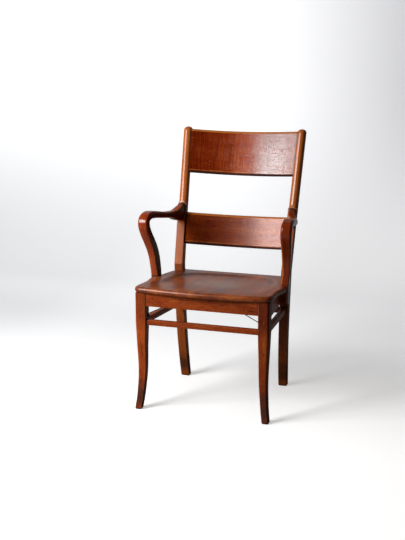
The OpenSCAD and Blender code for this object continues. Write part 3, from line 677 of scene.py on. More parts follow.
@dataclass(frozen=True)
class WoodFinish:
    """Stained and varnished wood of one group of pieces."""

    name: str
    dark: Colour
    middle: Colour
    light: Colour
    # Colour of worn edges and scratches, also used for painted sheen.
    worn_and_sheen: Colour = (0.46, 0.15, 0.04)
    used: Colour = (0.40, 0.12, 0.035)
    # Colour of dirt and nicks, also used for painted shade.
    dirt: Colour = (0.018, 0.008, 0.005)
    deep: Colour = (0.3, 0.2, 0.2)
    bands: float = 0.6
    fibres: float = 0.45
    ripple: float = 0.15
    mottle: float = 0.5
    pores: float = 0.4
    scratches: float = 0.22
    wear: float = 0.75
    used_roughness: float = 0.0
    roughness: tuple[float, float] = (0.36, 0.5)
    specular: float = 0.4
    coat: float = 0.0
    coat_roughness: float = 0.12
    bump: float = 0.15
    source: GrainFrom = GrainFrom.PIECE

    def coordinates(self, weave: Weave) -> tuple[object, object, object, object, object]:
        """The grain coordinate and the arris, dirt-and-shade, use and stain-and-shade weights of the surface.

        Args:
            weave: Helper of the material's tree.

        Returns:
            The coordinate and the four weights, as outputs or plain values.
        """
        if self.source is GrainFrom.PIECE:
            read = [weave.node("Attribute", attribute_name=name) for name in ("grain", *WEIGHTS)]
            return (read[0].outputs["Vector"], *(r.outputs["Fac"] for r in read[1:]))
        place = weave.node("TexCoord").outputs["Object"]
        turn = weave.node("Mapping", {"Vector": place, "Rotation": self.source.value}, vector_type="POINT")
        return turn.outputs["Vector"], 0.0, 0.0, 0.0, 0.0

    def build(self, grain: bpy.types.NodeTree, wear: bpy.types.NodeTree) -> bpy.types.Material:
        """Makes the material.

        Args:
            grain: The group that draws the wood.
            wear: The group that draws wear, partly painted sheen, and dirt with painted shade.

        Returns:
            The finished material.
        """
        made, weave = new_material(self.name)
        vector, arris, grime, use, stain = self.coordinates(weave)
        drawn = {
            "Grain": vector, "Dark": (*self.dark, 1), "Middle": (*self.middle, 1), "Light": (*self.light, 1),
            "Bands": self.bands, "Fibres": self.fibres, "Ripple": self.ripple, "Mottle": self.mottle,
            "Pores": self.pores,
        }
        wood = weave.node("Group", drawn, node_tree=grain).outputs
        rubbed = {"Place": vector, "Arris": arris, "Grime": grime, "Use": use, "Wear": self.wear}
        mask = weave.node("Group", rubbed, node_tree=wear).outputs
        # Staining, which on the left arm's inner side is painted shade.
        colour = weave.blend(stain, wood["Color"], self.deep, "MULTIPLY")
        for layer, share, over in (
            ("Used", 0.8, self.used), ("Rubbed", 0.75, self.worn_and_sheen), ("Scratch", self.scratches, self.worn_and_sheen),
            ("Nicks", 0.5, self.dirt), ("Dirt", 0.85, self.dirt),
        ):
            colour = weave.blend(weave.times(mask[layer], share), colour, over)
        rough = weave.plus(weave.remap(wood["Gloss"], 0.25, 0.75, self.roughness), weave.times(mask["Dirt"], 0.15))
        height = weave.minus(wood["Height"], weave.times(mask["Nicks"], 0.5))
        bump = weave.node("Bump", {"Height": height, "Strength": self.bump, "Distance": 0.0006})
        surface = {
            "Base Color": colour,
            "Roughness": weave.maths("ADD", rough, weave.times(mask["Used"], self.used_roughness), clamp=True),
            "Specular IOR Level": self.specular,
            "Coat Roughness": self.coat_roughness,
            "Normal": bump.outputs["Normal"],
        }
        if self.coat:
            fresh = weave.maths("SUBTRACT", 1.0, weave.times(stain, 2.2), clamp=True)
            surface["Coat Weight"] = weave.times(fresh, self.coat)
        weave.feed(made.node_tree.nodes["Principled BSDF"], surface)
        return made


@dataclass(frozen=True)
class SteelFinish:
    """Dull drawn steel, darkened with age."""

    name: str = "aged_steel"
    bright: Colour = (0.17, 0.165, 0.16)
    rust: Colour = (0.05, 0.03, 0.022)

    def build(self) -> bpy.types.Material:
        """Makes the material.

        Returns:
            The finished material.
        """
        made, weave = new_material(self.name)
        place = weave.node("TexCoord").outputs["Object"]
        spots = weave.remap(weave.noise(place, 90.0, 4.0, 0.6), 0.42, 0.66)
        drawn = weave.noise(place, (30, 900, 900), 1.0)
        surface = {
            "Base Color": weave.blend(spots, self.bright, self.rust),
            "Metallic": weave.remap(spots, 0.0, 1.0, (0.95, 0.25)),
            "Roughness": weave.plus(weave.remap(drawn, 0.3, 0.7, (0.3, 0.42)), weave.times(spots, 0.3)),
        }
        weave.feed(made.node_tree.nodes["Principled BSDF"], surface)
        return made


@dataclass
class Palette:
    """All the finishes of the chair, built once."""

    made: dict[str, bpy.types.Material] = field(default_factory=dict)
    finishes: tuple[WoodFinish, ...] = (
        WoodFinish(
            "leg_wood", (0.21, 0.029, 0.003), (0.425, 0.07, 0.008), (0.6, 0.142, 0.02), specular=0.18, bands=0.4,
            wear=0.85, scratches=0.45, dirt=(0.03, 0.016, 0.012), pores=0.75, mottle=0.75,
        ),
        WoodFinish(
            "crest_wood", (0.17, 0.015, 0.001), (0.34, 0.04, 0.003), (0.54, 0.1, 0.009), bands=0.25, fibres=0.25,
            ripple=0.95, mottle=0.45, pores=0.3, wear=1.0, roughness=(0.1, 0.22), specular=0.42, bump=0.22,
            deep=(0.3, 0.16, 0.12), worn_and_sheen=(0.55, 0.18, 0.03),
        ),
        WoodFinish(
            "slat_wood", (0.25, 0.026, 0.002), (0.46, 0.075, 0.005), (0.62, 0.135, 0.014), fibres=0.6, ripple=0.2,
            wear=1.0, roughness=(0.16, 0.26), specular=0.3, deep=(0.16, 0.07, 0.05), worn_and_sheen=(0.5, 0.15, 0.025),
        ),
        WoodFinish(
            "post_wood", (0.35, 0.07, 0.009), (0.54, 0.138, 0.022), (0.68, 0.21, 0.045), wear=0.7, bands=0.4,
            fibres=0.4, roughness=(0.38, 0.5), specular=0.15, coat=0.95, coat_roughness=0.24,
            deep=(0.22, 0.1, 0.09), dirt=(0.02, 0.008, 0.005),
        ),
        WoodFinish(
            "arm_wood", (0.12, 0.012, 0.002), (0.27, 0.036, 0.006), (0.43, 0.08, 0.014), wear=0.9, pores=0.25,
            worn_and_sheen=(0.45, 0.12, 0.025), deep=(0.25, 0.15, 0.12), roughness=(0.17, 0.19), specular=0.38, bump=0.02,
        ),
        WoodFinish(
            "seat_wood", (0.11, 0.016, 0.002), (0.25, 0.046, 0.006), (0.43, 0.11, 0.018), wear=0.8, fibres=0.9,
            used=(0.355, 0.235, 0.185), used_roughness=0.06, roughness=(0.26, 0.38), mottle=0.9, specular=0.5,
            scratches=0.5,
        ),
        WoodFinish(
            "inner_wood", (0.08, 0.022, 0.007), (0.15, 0.048, 0.016), (0.26, 0.09, 0.03), specular=0.25,
            roughness=(0.55, 0.7), bump=0.25, source=GrainFrom.ALONG_X,
        ),
        WoodFinish(
            "plug_wood", (0.06, 0.012, 0.003), (0.11, 0.022, 0.005), (0.18, 0.045, 0.01), source=GrainFrom.ALONG_Z
        ),
    )

    def build(self) -> None:
        """Builds the shared groups and every material."""
        grain, wear = build_grain_group(), build_wear_group()
        for finish in self.finishes:
            self.made[finish.name] = finish.build(grain, wear)
        self.made["aged_steel"] = SteelFinish().build()

    def dress(self, piece: bpy.types.Object, finish: str) -> None:
        """Gives a piece, new or carried over, the material of that name."""
        piece.data.materials.clear()
        piece.data.materials.append(self.made[finish])


# ---------------------------------------------------------------- sub-assemblies


@dataclass
class SubAssembly:
    """A group of pieces of the chair, with the lines they share."""

    lines: Lines
    palette: Palette
    made: list[str] = field(default_factory=list)

    def take(self, piece: bpy.types.Object, node: str, finish: str, slot: str = "frame_wood") -> None:
        """Lets a piece stand for a CAD node, dresses it and notes its name.

        Args:
            piece: The new piece.
            node: The CAD node it stands for.
            finish: Name of its finish.
            slot: Not used.
        """
        self.palette.dress(piece, finish)
        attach(piece, "root")
        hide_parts(node)
        self.made.append(piece.name)

    def keep(self, finish: str, *nodes: str) -> None:
        """Dresses carried-over nodes and notes their names.

        Args:
            finish: Name of their finish.
            nodes: Their names.
        """
        for node in nodes:
            self.palette.dress(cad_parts[node], finish)
            self.made.append(node)

    def both(
        self, name: str, shape: Callable[[Skin], None], finish: str, stains: tuple[float, float] = (0.0, 0.0),
        **options: object,
    ) -> None:
        """Builds a piece on each side, as mirror images with their own grain.

        Args:
            name: Name of the CAD nodes, without their side.
            shape: Adds the right-hand piece's rings to a skin.
            finish: Name of the finish.
            stains: How much darker the piece is stained on the left and on the right.
            options: Passed on to Skin.piece.
        """
        for side, stain in zip(Side, stains):
            label = side.name.lower()
            node = f"{name}_{label}" if name.split("_")[0] in ("front", "back", "arm") else f"{label}_{name}"
            seed = len(node) + 3.1 * side.value
            skin = Skin(f"{node}_wood", self.lines, seed=seed, stain=stain, mirrored=side is Side.LEFT)
            shape(skin)
            self.take(skin.piece(**options), node, finish)

    def across(self, node: str, seed: float, *shape: object, **options: object) -> None:
        """Builds a bar that crosses the chair, in the legs' finish.

        Args:
            node: The CAD node it stands for.
            seed: Its place in the grain.
            shape: Its path, length and section, passed on to bar.
            options: Passed on to bar.
        """
        skin = Skin(f"{node}_wood", self.lines, seed=seed)
        bar(skin, *shape, **options)
        self.take(skin.piece(), node, "leg_wood")


@dataclass
class FrontLegs(SubAssembly):
    """The two front legs: square above, bowed and tapered below, kicked out at the foot."""

    foot_s: float = 25.0
    bow: float = 6.4
    flare: float = 4.5
    knee: float = 330.0
    arris_r: float = 2.5
    outer_r: float = 9.0
    foot_wear: float = 2.6
    foot_wear_h: float = 4.0

    def offset(self, z: float) -> float:
        """How far the leg's outer faces stand inside its upper faces at height z.

        Args:
            z: The height.

        Returns:
            The distance.
        """
        k, bow = self.knee, self.bow
        knots = [(0, -self.flare), (k * 0.18, bow * 0.38), (k * 0.455, bow), (k * 0.76, bow * 0.45), (k, 0)]
        return through(knots, z) if z < k else 0.0

    def side(self, z: float) -> float:
        """Side of the leg's square section at height z.

        Args:
            z: The height.

        Returns:
            Its length.
        """
        k, f, s = self.knee, self.foot_s, self.lines.leg_s
        knots = [(0, f), (k * 0.18, f + 0.8), (k * 0.38, f + 3.2), (k * 0.65, f + 7.2), (k * 0.87, s - 2.6), (k, s)]
        return through(knots, z) if z < k else s

    def shape(self, skin: Skin) -> None:
        """Adds the right leg's rings.

        Args:
            skin: The skin that takes them.
        """
        rings = []
        heights = [0.0, 1.2, 3.0] + [8 + (self.knee - 8) * i / 44 for i in range(45)] + [360, 400, 420, 440.5]
        for z in heights:
            inset = self.foot_wear * (1 - min(1.0, z / self.foot_wear_h)) ** 2
            s, o = self.side(z) - 2 * inset, self.offset(z) + inset
            # Dirt towards the foot, painted shade in a band under the seat and a painted contact shadow round the
            # bottom of the foot.
            grime = max(0.66 * fade(z, 60, 120) * rise(z, -40, 75) + 0.35 * rise(z, 425, 14), fade(z, 1, 6))
            tone = 0.6 * rise(z, 290, 100) + 0.15 * fade(z, 120, 100)
            ring = []
            outer = self.outer_r * (0.6 + 0.4 * min(1.0, z / self.knee))
            for a, b, w in rounded(s, s, self.arris_r, self.arris_r, ro=outer):
                place = Vector((self.lines.leg_out - o - s / 2 + a, o + s / 2 + b, z))
                if z == heights[-1]:
                    place.z = self.lines.under_seat(place.y) - 0.05
                ring.append(Knot(place, Vector((z, a, b)) / 1000, w, grime, 0.0, tone))
            rings.append(ring)
        skin.loft(rings)

    def build(self) -> None:
        """Builds and dresses both legs."""
        self.both("front_leg", self.shape, "leg_wood", stains=(0.0, 0.48))


@dataclass
class BackPosts(SubAssembly):
    """The two back posts, swept at the foot, raked above the seat, half round above the arm."""

    stop_drop: float = 3.0
    fullness: float = 5.0
    arris_r: float = 3.0
    cap_h: float = 14.0
    cap_turn: float = 80.0
    tip_half: float = 13.0
    tip_d: float = 13.0
    foot_wear: float = 0.16
    foot_wear_h: float = 4.0
    seat_z: float = 446.0

    def shape(self, skin: Skin) -> None:
        """Adds the right post's rings and the pointed end of its flat face.

        Args:
            skin: The skin that takes them.
        """
        line = self.lines
        stop, top, bend, cap = line.arm_top - self.stop_drop, line.post_top, line.bend_z, self.cap_h
        heights = [0.0, 1.2, 3.0] + [8 + (line.post_knee - 8) * i / 26 for i in range(27)] + [340, 380, 420]
        heights += [bend + rise for rise in (-12, -4, 0, 1, 4, 12)]
        heights += [bend + 12 + (stop - bend - 12) * i / 14 for i in range(1, 14)]
        heights += [stop - 0.3, stop + 0.3] + [stop + 12 + (top - 26 - stop) * i / 12 for i in range(13)]
        rings = [self.ring(z, 0.0, stop) for z in heights]
        for i in range(1, 10):
            a = math.radians(self.cap_turn * i / 9)
            z = top - cap + cap * math.sin(a) / math.sin(math.radians(self.cap_turn))
            shrink = 1 - math.sqrt(1 - 0.97 * ((z - top + cap) / cap) ** 2)
            rings.append(self.ring(z, shrink, stop))
        skin.loft(rings)
        x = line.post_out(stop) - line.post_w / 2
        along = (stop - bend) / math.cos(line.rake)
        outline = ((-self.tip_half, -1.0), (self.tip_half, -1.0), (0.5, 15.0), (-0.5, 15.0))
        tip = [
            [
                Knot(line.raked(x + u * grow, depth, along + v * grow), Vector((stop + v, u, depth)) / 1000, 0.7)
                for u, v in outline
            ]
            for depth, grow in ((self.tip_d, 1.0), (0.6, 1.0), (0.0, 0.93))
        ]
        skin.loft(tip)

    def ring(self, z: float, shrink: float, stop: float) -> list[Knot]:
        """One ring of the post.

        Args:
            z: Its height.
            shrink: How far it draws in towards its middle, 0 to 1.
            stop: Height at which the face turns half round.

        Returns:
            The ring's knots.
        """
        line = self.lines
        d = line.post_depth(z)
        x, y = line.post_out(z) - line.post_w / 2, line.post_front(z) + d / 2
        wide = line.post_w + self.fullness
        front = wide / 2 - 0.2 if z > stop else self.arris_r
        foot = 1 - self.foot_wear * (1 - min(1.0, z / self.foot_wear_h)) ** 2
        # Dirt towards the foot, painted shade in a band where the seat meets the post and a painted contact shadow
        # round the bottom of the foot.
        grime = max(0.62 * fade(z, 60, 90) * rise(z, 0, 45) + 0.5 * fade(abs(z - self.seat_z), 0, 9), fade(z, 1, 6))
        tone = 0.62 + 0.12 * rise(z, self.seat_z - 10, 8) - 0.34 * rise(z, line.bend_z, 1) - 0.4 * rise(z, stop, 6)
        rubbed = joint = 0.0
        if z > line.bend_z:
            rubbed = 0.75 * bump(z - line.bend_z, 14, 12)
            up = (z - line.bend_z) / math.cos(line.rake)
            rails = ((line.crest_lo, line.crest_h), (line.slat_lo, line.slat_h))
            beside = min(abs(up - low - high / 2) - high / 2 for low, high in rails)
            # Painted shade on the post's inner flank beside the back rails.
            joint = 0.9 * fade(beside, -1, 3)
        return [
            Knot(
                Vector((x + a * (1 - shrink) * foot, y + b * (1 - shrink) * foot, z)),
                Vector((z, a, b)) / 1000,
                max(w, rubbed * rise(-b, d / 4, 4)),
                max(grime, joint * rise(-a, wide / 2 - 3.5, 3)),
                0.0,
                tone,
            )
            for a, b, w in rounded(wide, d, front, self.arris_r)
        ]

    def build(self) -> None:
        """Builds and dresses both posts."""
        self.both("back_post", self.shape, "post_wood", stains=(0.0, 0.1), sharp=50.0)


@dataclass
class BackRails(SubAssembly):
    """The crest rail and the lower slat, bent round the sitter's back."""

    slat_bow: float = 26.0
    joint_depth: float = 1.5
    spans: int = 56

    def section(self, high: float) -> Outline:
        """Outline of a rail of that height, with extra points on its flat faces beside the round edges.

        Args:
            high: The height.

        Returns:
            The outline, with the weight of wear and painted sheen in each point.
        """
        thick = self.lines.rail_t
        r = thick / 2 - 0.5
        outline = rounded(thick, high, r, r, q=8)
        near = (1.2, 2.8, 6, 14)
        flat = [high / 2 - r - inset for inset in near]
        flat += [-place for place in reversed(flat)]
        behind = [(thick / 2, -b, 0.0) for b in flat]
        before = [(-thick / 2, b, 0.0) for b in flat]
        made = []
        for a, b, _ in outline[:18] + behind + outline[18:] + before:
            inner = high / 2 - abs(b)
            # Light lines along both round edges, mostly at the front: worn wood and painted sheen.
            edge = 0.75 * fade(inner, 8.5, 3)
            if b <= 0:
                edge = 0.6 * fade(inner, 11.5, 4) * rise(inner, 8.5, 2)
            made.append((a, b, edge if a < 0 else 0.3 * edge))
        return made

    def shape(self, skin: Skin, tones: Sequence[tuple[float, float]], low: float, high: float, bow: float) -> None:
        """Adds one rail's rings.

        Args:
            skin: The skin that takes them.
            tones: How dark the rail is stained at places from -1, the left end, to 1.
            low: Its lower edge, measured up the rake from the bend.
            high: Its height.
            bow: How far its middle stands back.
        """
        line = self.lines
        half = line.post_in(line.bend_z + (low + high / 2) * math.cos(line.rake))
        radius = (half * half + bow * bow) / (2 * bow)
        section = self.section(high)
        rings = []
        for k in range(self.spans + 1):
            share = 2 * k / self.spans - 1
            ring = []
            for a, b, w in section:
                up = low + high / 2 + b
                reach = line.post_in(line.bend_z + up * math.cos(line.rake)) + self.joint_depth
                rad = radius + line.rail_t / 2 + a
                angle = share * math.asin(reach / rad)
                back = bow + line.rail_inset - radius + rad * math.cos(angle)
                # Painted shade at the rail's ends beside the posts and on the underside of its lower round edge.
                grime = 0.85 * fade((1 - abs(share)) * half, 1, 10)
                if b < 0:
                    grime = max(grime, fade(high / 2 + b, 5.5, 5))
                arc = 16 * (1 - (2 * b / high) ** 2)
                fibre = Vector((share * half + arc, b, a)) / 1000
                place = line.raked(rad * math.sin(angle), back, up)
                ring.append(Knot(place, fibre, w, grime, 0.0, through(tones, share)))
            rings.append(ring[::-1])
        skin.loft(rings)

    def build(self) -> None:
        """Builds and dresses both rails."""
        line = self.lines
        crest = [(-1, 0.85), (-0.6, 0.66), (-0.22, 0.36), (0.11, 0.0), (0.4, 0.45), (0.8, 0.5), (1, 0.2)]
        slat = [(-1, 0.6), (-0.7, 0.85), (-0.3, 0.78), (0.0, 0.6), (0.3, 0.48), (0.5, 0.15), (1, 0.0)]
        for node, finish, seed, *lie in (
            ("crest_rail", "crest_wood", 2.0, crest, line.crest_lo, line.crest_h, line.crest_bow),
            ("lower_back_slat", "slat_wood", 9.0, slat, line.slat_lo, line.slat_h, self.slat_bow),
        ):
            skin = Skin(f"{node}_wood", line, seed=seed)
            self.shape(skin, *lie)
            self.take(skin.piece(sharp=60.0), node, finish)


@dataclass
class SeatPlank(SubAssembly):
    """The seat: a thick plank with a full round edge and a shallow dish."""

    dish_d: float = 9.0
    dish_border: float = 41.5
    dish_rear: float = 36.5
    middle: float = 0.466
    fine: int = 5
    outline: tuple[tuple[float, float], ...] = (
        (0, -1), (0.234, -0.948), (0.468, -0.793), (0.682, -0.537), (0.8265, -0.352), (0.92, -0.13),
        (0.971, 0.017), (0.995, 0.059), (1, 0.123), (0.991, 0.216), (0.99, 0.29), (1.006, 0.368),
        (1.0195, 0.437), (1.0155, 0.503), (0.992, 0.579), (0.969, 0.643), (0.951, 0.736), (0.93, 0.829),
        (0.8985, 0.898), (0.8655, 0.962), (0.803, 0.989), (0.725, 1), (0.483, 1.002), (0.242, 1.002), (0, 1.002),
    )
    inner: tuple[float, ...] = (
        0.77, 0.75, 0.72, 0.69, 0.65, 0.6, 0.55, 0.5, 0.44, 0.38, 0.32, 0.26, 0.2, 0.14, 0.08, 0.03,
    )

    def edge(self) -> list[Vector]:
        """Points round the seat's outermost line, in order.

        Returns:
            The points, in the seat's plane.
        """
        line = self.lines
        half = [
            Vector((a * line.seat_half_w, b * (line.seat_front if b < 0 else line.seat_back), 0))
            for a, b in self.outline
        ]
        knots = half + [Vector((-p.x, p.y, 0)) for p in half[-2:0:-1]]
        n = len(knots)
        return [
            spline(knots[i - 1], knots[i], knots[(i + 1) % n], knots[(i + 2) % n], t / self.fine)
            for i in range(n)
            for t in range(self.fine)
        ]

    def rim(self, x: float, y: float) -> float:
        """How far out a place lies in the dish, 1 at its rim.

        Args:
            x: Place across the seat.
            y: Place from front to back.

        Returns:
            The distance, as a share.
        """
        line = self.lines
        mid = self.middle * line.seat_back
        back = max(0.0, y - mid) / (line.seat_back - self.dish_rear - mid)
        side = abs(x) / (line.seat_half_w - self.dish_border)
        return (side**3 + back**3) ** (1 / 3)

    def dish(self, x: float, y: float) -> float:
        """Depth of the dish at a place."""
        return self.dish_d * fade(self.rim(x, y), 0.72, 0.3) * rise(y / self.lines.seat_back, -0.02, 0.43)

    def shape(self, skin: Skin) -> None:
        """Adds the seat's rings: round the edge from below, then in over the top.

        Args:
            skin: The skin that takes them.
        """
        line = self.lines
        edge = self.edge()
        r = line.seat_t / 2
        ways = [after - before for before, after in zip(edge[-1:] + edge[:-1], edge[1:] + edge[:1])]
        out = [Vector((way.y, -way.x, 0)).normalized() for way in ways]
        rings = []

        def add(places: list[tuple[Vector, float]], *weights: Sequence[float]) -> None:
            """Adds a ring of places and heights with their weights.

            Args:
                places: Each place and its height.
                weights: Lists of the arris, dirt-and-shade and use weights.
            """
            ring = []
            for (p, z), *own in zip(places, *weights):
                ring.append(Knot(Vector((p.x, p.y, z)), Vector((p.y, p.x, z)) / 1000, *own))
            rings.append(ring)

        for k in range(17):
            a = math.radians(-90 + 11.25 * k)
            wear = 0.4 * rise(math.cos(a - math.radians(35)), 0.8, 0.2)
            points = [p - away * r * (1 - math.cos(a)) for p, away in zip(edge, out)]
            add([(p, line.seat_z(p.y) - r + r * math.sin(a)) for p in points], [wear] * len(edge))
        mid = Vector((0, self.middle * line.seat_back, 0))
        for share in [0.985 - 0.015 * i for i in range(14)] + list(self.inner):
            points = [mid + share * (p - away * r - mid) for p, away in zip(edge, out)]
            rims = [self.rim(p.x, p.y) for p in points]
            add(
                [(p, line.seat_z(p.y) - self.dish(p.x, p.y)) for p in points],
                # Worn wood and a painted highlight along the dish's rear rim.
                [0.8 * bump(rim, 0.985, 0.03) * rise(p.y, 110, 90) for p, rim in zip(points, rims)],
                # Painted shade just inside the dish's rear rim, weaker towards the right.
                [
                    (0.62 - 0.25 * rise(p.x, 0, 120)) * bump(rim, 0.89, 0.07) * rise(p.y, 60, 120)
                    for p, rim in zip(points, rims)
                ],
                [fade(math.hypot((p.x - 10) / 200, (p.y - 195) / 150), 0, 1) for p in points],
            )
        skin.loft(rings)

    def build(self) -> None:
        """Builds and dresses the seat."""
        skin = Skin("seat_plank", self.lines, seed=5.0)
        self.shape(skin)
        self.take(skin.piece(sharp=60.0, even=False), "seat", "seat_wood")


@dataclass
class SeatFrame(SubAssembly):
    """The four aprons under the seat and the corner blocks."""

    arris_r: float = 1.6
    rear_t: float = 18.0

    def section(self, thick: float, low: float, top: float) -> Outline:
        """Outline of an apron between two heights, rubbed at its lower arrises only."""
        outline = rounded(thick, top - low, self.arris_r, 0.4)
        return [(a, b + (low + top) / 2, w if b < 0 else 0.0) for a, b, w in outline]

    def side(self, skin: Skin) -> None:
        """Adds the right-hand apron.

        Args:
            skin: The skin that takes it.
        """
        line = self.lines
        low, high = line.apron_side_z, 60.0

        def path(t: float, a: float, b: float) -> Vector:
            """Place on the apron, whose upper edge follows the seat.

            Args:
                t: Distance along it.
                a: Distance across it.
                b: Height.

            Returns:
                The place.
            """
            y = line.leg_s + t
            z = low + (b - low) / high * (line.under_seat(y) - 0.3 - low)
            return Vector((line.apron_out(y) - line.apron_t / 2 + a, y, z))

        outline = [(-a, b, w) for a, b, w in self.section(line.apron_t, low, low + high)]
        bar(skin, path, line.post_y - line.leg_s, outline, spans=20)

    def build(self) -> None:
        """Builds the aprons and dresses them and the carried-over blocks."""
        line = self.lines
        y_front = line.apron_inset + line.apron_t / 2
        y_rear = line.post_y + line.post_d - 3 - self.rear_t / 2
        half = line.post_in(line.apron_side_z + 20)
        self.across(
            "front_apron", 3.0, lambda t, a, b: Vector((t - line.leg_in, y_front + a, b)), 2 * line.leg_in,
            self.section(line.apron_t, line.apron_front_z, line.under_seat(y_front) - 0.4), spans=24,
            stain=(0.26, 0.52),
        )
        self.both("apron", self.side, "leg_wood")
        self.across(
            "rear_apron", 8.0, lambda t, a, b: Vector(((t / half - 1) * line.post_in(b), y_rear + a, b)), 2 * half,
            self.section(self.rear_t, line.apron_side_z, line.under_seat(y_rear) - 0.4), spans=20,
        )
        ends = ("front_left", "front_right", "rear_left", "rear_right")
        self.keep("inner_wood", *(f"corner_block_{end}" for end in ends))


@dataclass
class Stretchers(SubAssembly):
    """The four stretchers between the legs."""

    front_z: float = 340.7
    side_z: float = 339.0
    rear_z: float = 325.0
    fall: float = 10.0
    front_h: float = 19.7
    high: float = 22.5
    thick: float = 18.0
    inset: float = 7.0
    arris_r: float = 2.5

    def side(self, skin: Skin) -> None:
        """Adds the right-hand stretcher.

        Args:
            skin: The skin that takes it.
        """
        line = self.lines
        x0 = line.leg_out - line.leg_s / 2
        x1 = line.post_out(self.rear_z) - line.post_w / 2
        length = line.post_y - line.leg_s

        def path(t: float, a: float, b: float) -> Vector:
            """Place on the stretcher.

            Args:
                t: Distance along it.
                a: Distance across it.
                b: Height.

            Returns:
                The place.
            """
            share = t / length
            drop = self.side_z - self.high / 2 - self.fall * share
            return Vector((x0 + (x1 - x0) * share - a, line.leg_s + t, drop + b))

        bar(skin, path, length, rounded(self.thick, self.high, self.arris_r, self.arris_r), spans=20)

    def build(self) -> None:
        """Builds and dresses the four stretchers."""
        line = self.lines
        r = self.arris_r
        y_front = self.inset + self.thick / 2
        y_rear = line.post_y + line.post_d - 4 - self.thick / 2
        low, mid = self.front_z - self.front_h / 2, self.rear_z - self.high / 2
        half = line.post_in(mid)
        self.across(
            "front_stretcher", 4.0, lambda t, a, b: Vector((t - line.leg_in, y_front + a, low + b)), 2 * line.leg_in,
            [(a, b, w if b < 0 else 0.15 * w) for a, b, w in rounded(self.thick, self.front_h, r, r)], spans=24,
            stain=(0.38, 0.4),
        )
        self.across(
            "rear_stretcher", 6.0,
            lambda t, a, b: Vector(((t / half - 1) * line.post_in(mid + b), y_rear + a, mid + b)),
            2 * half, rounded(self.thick, self.high, r, r), spans=24,
        )
        self.both("stretcher", self.side, "leg_wood")


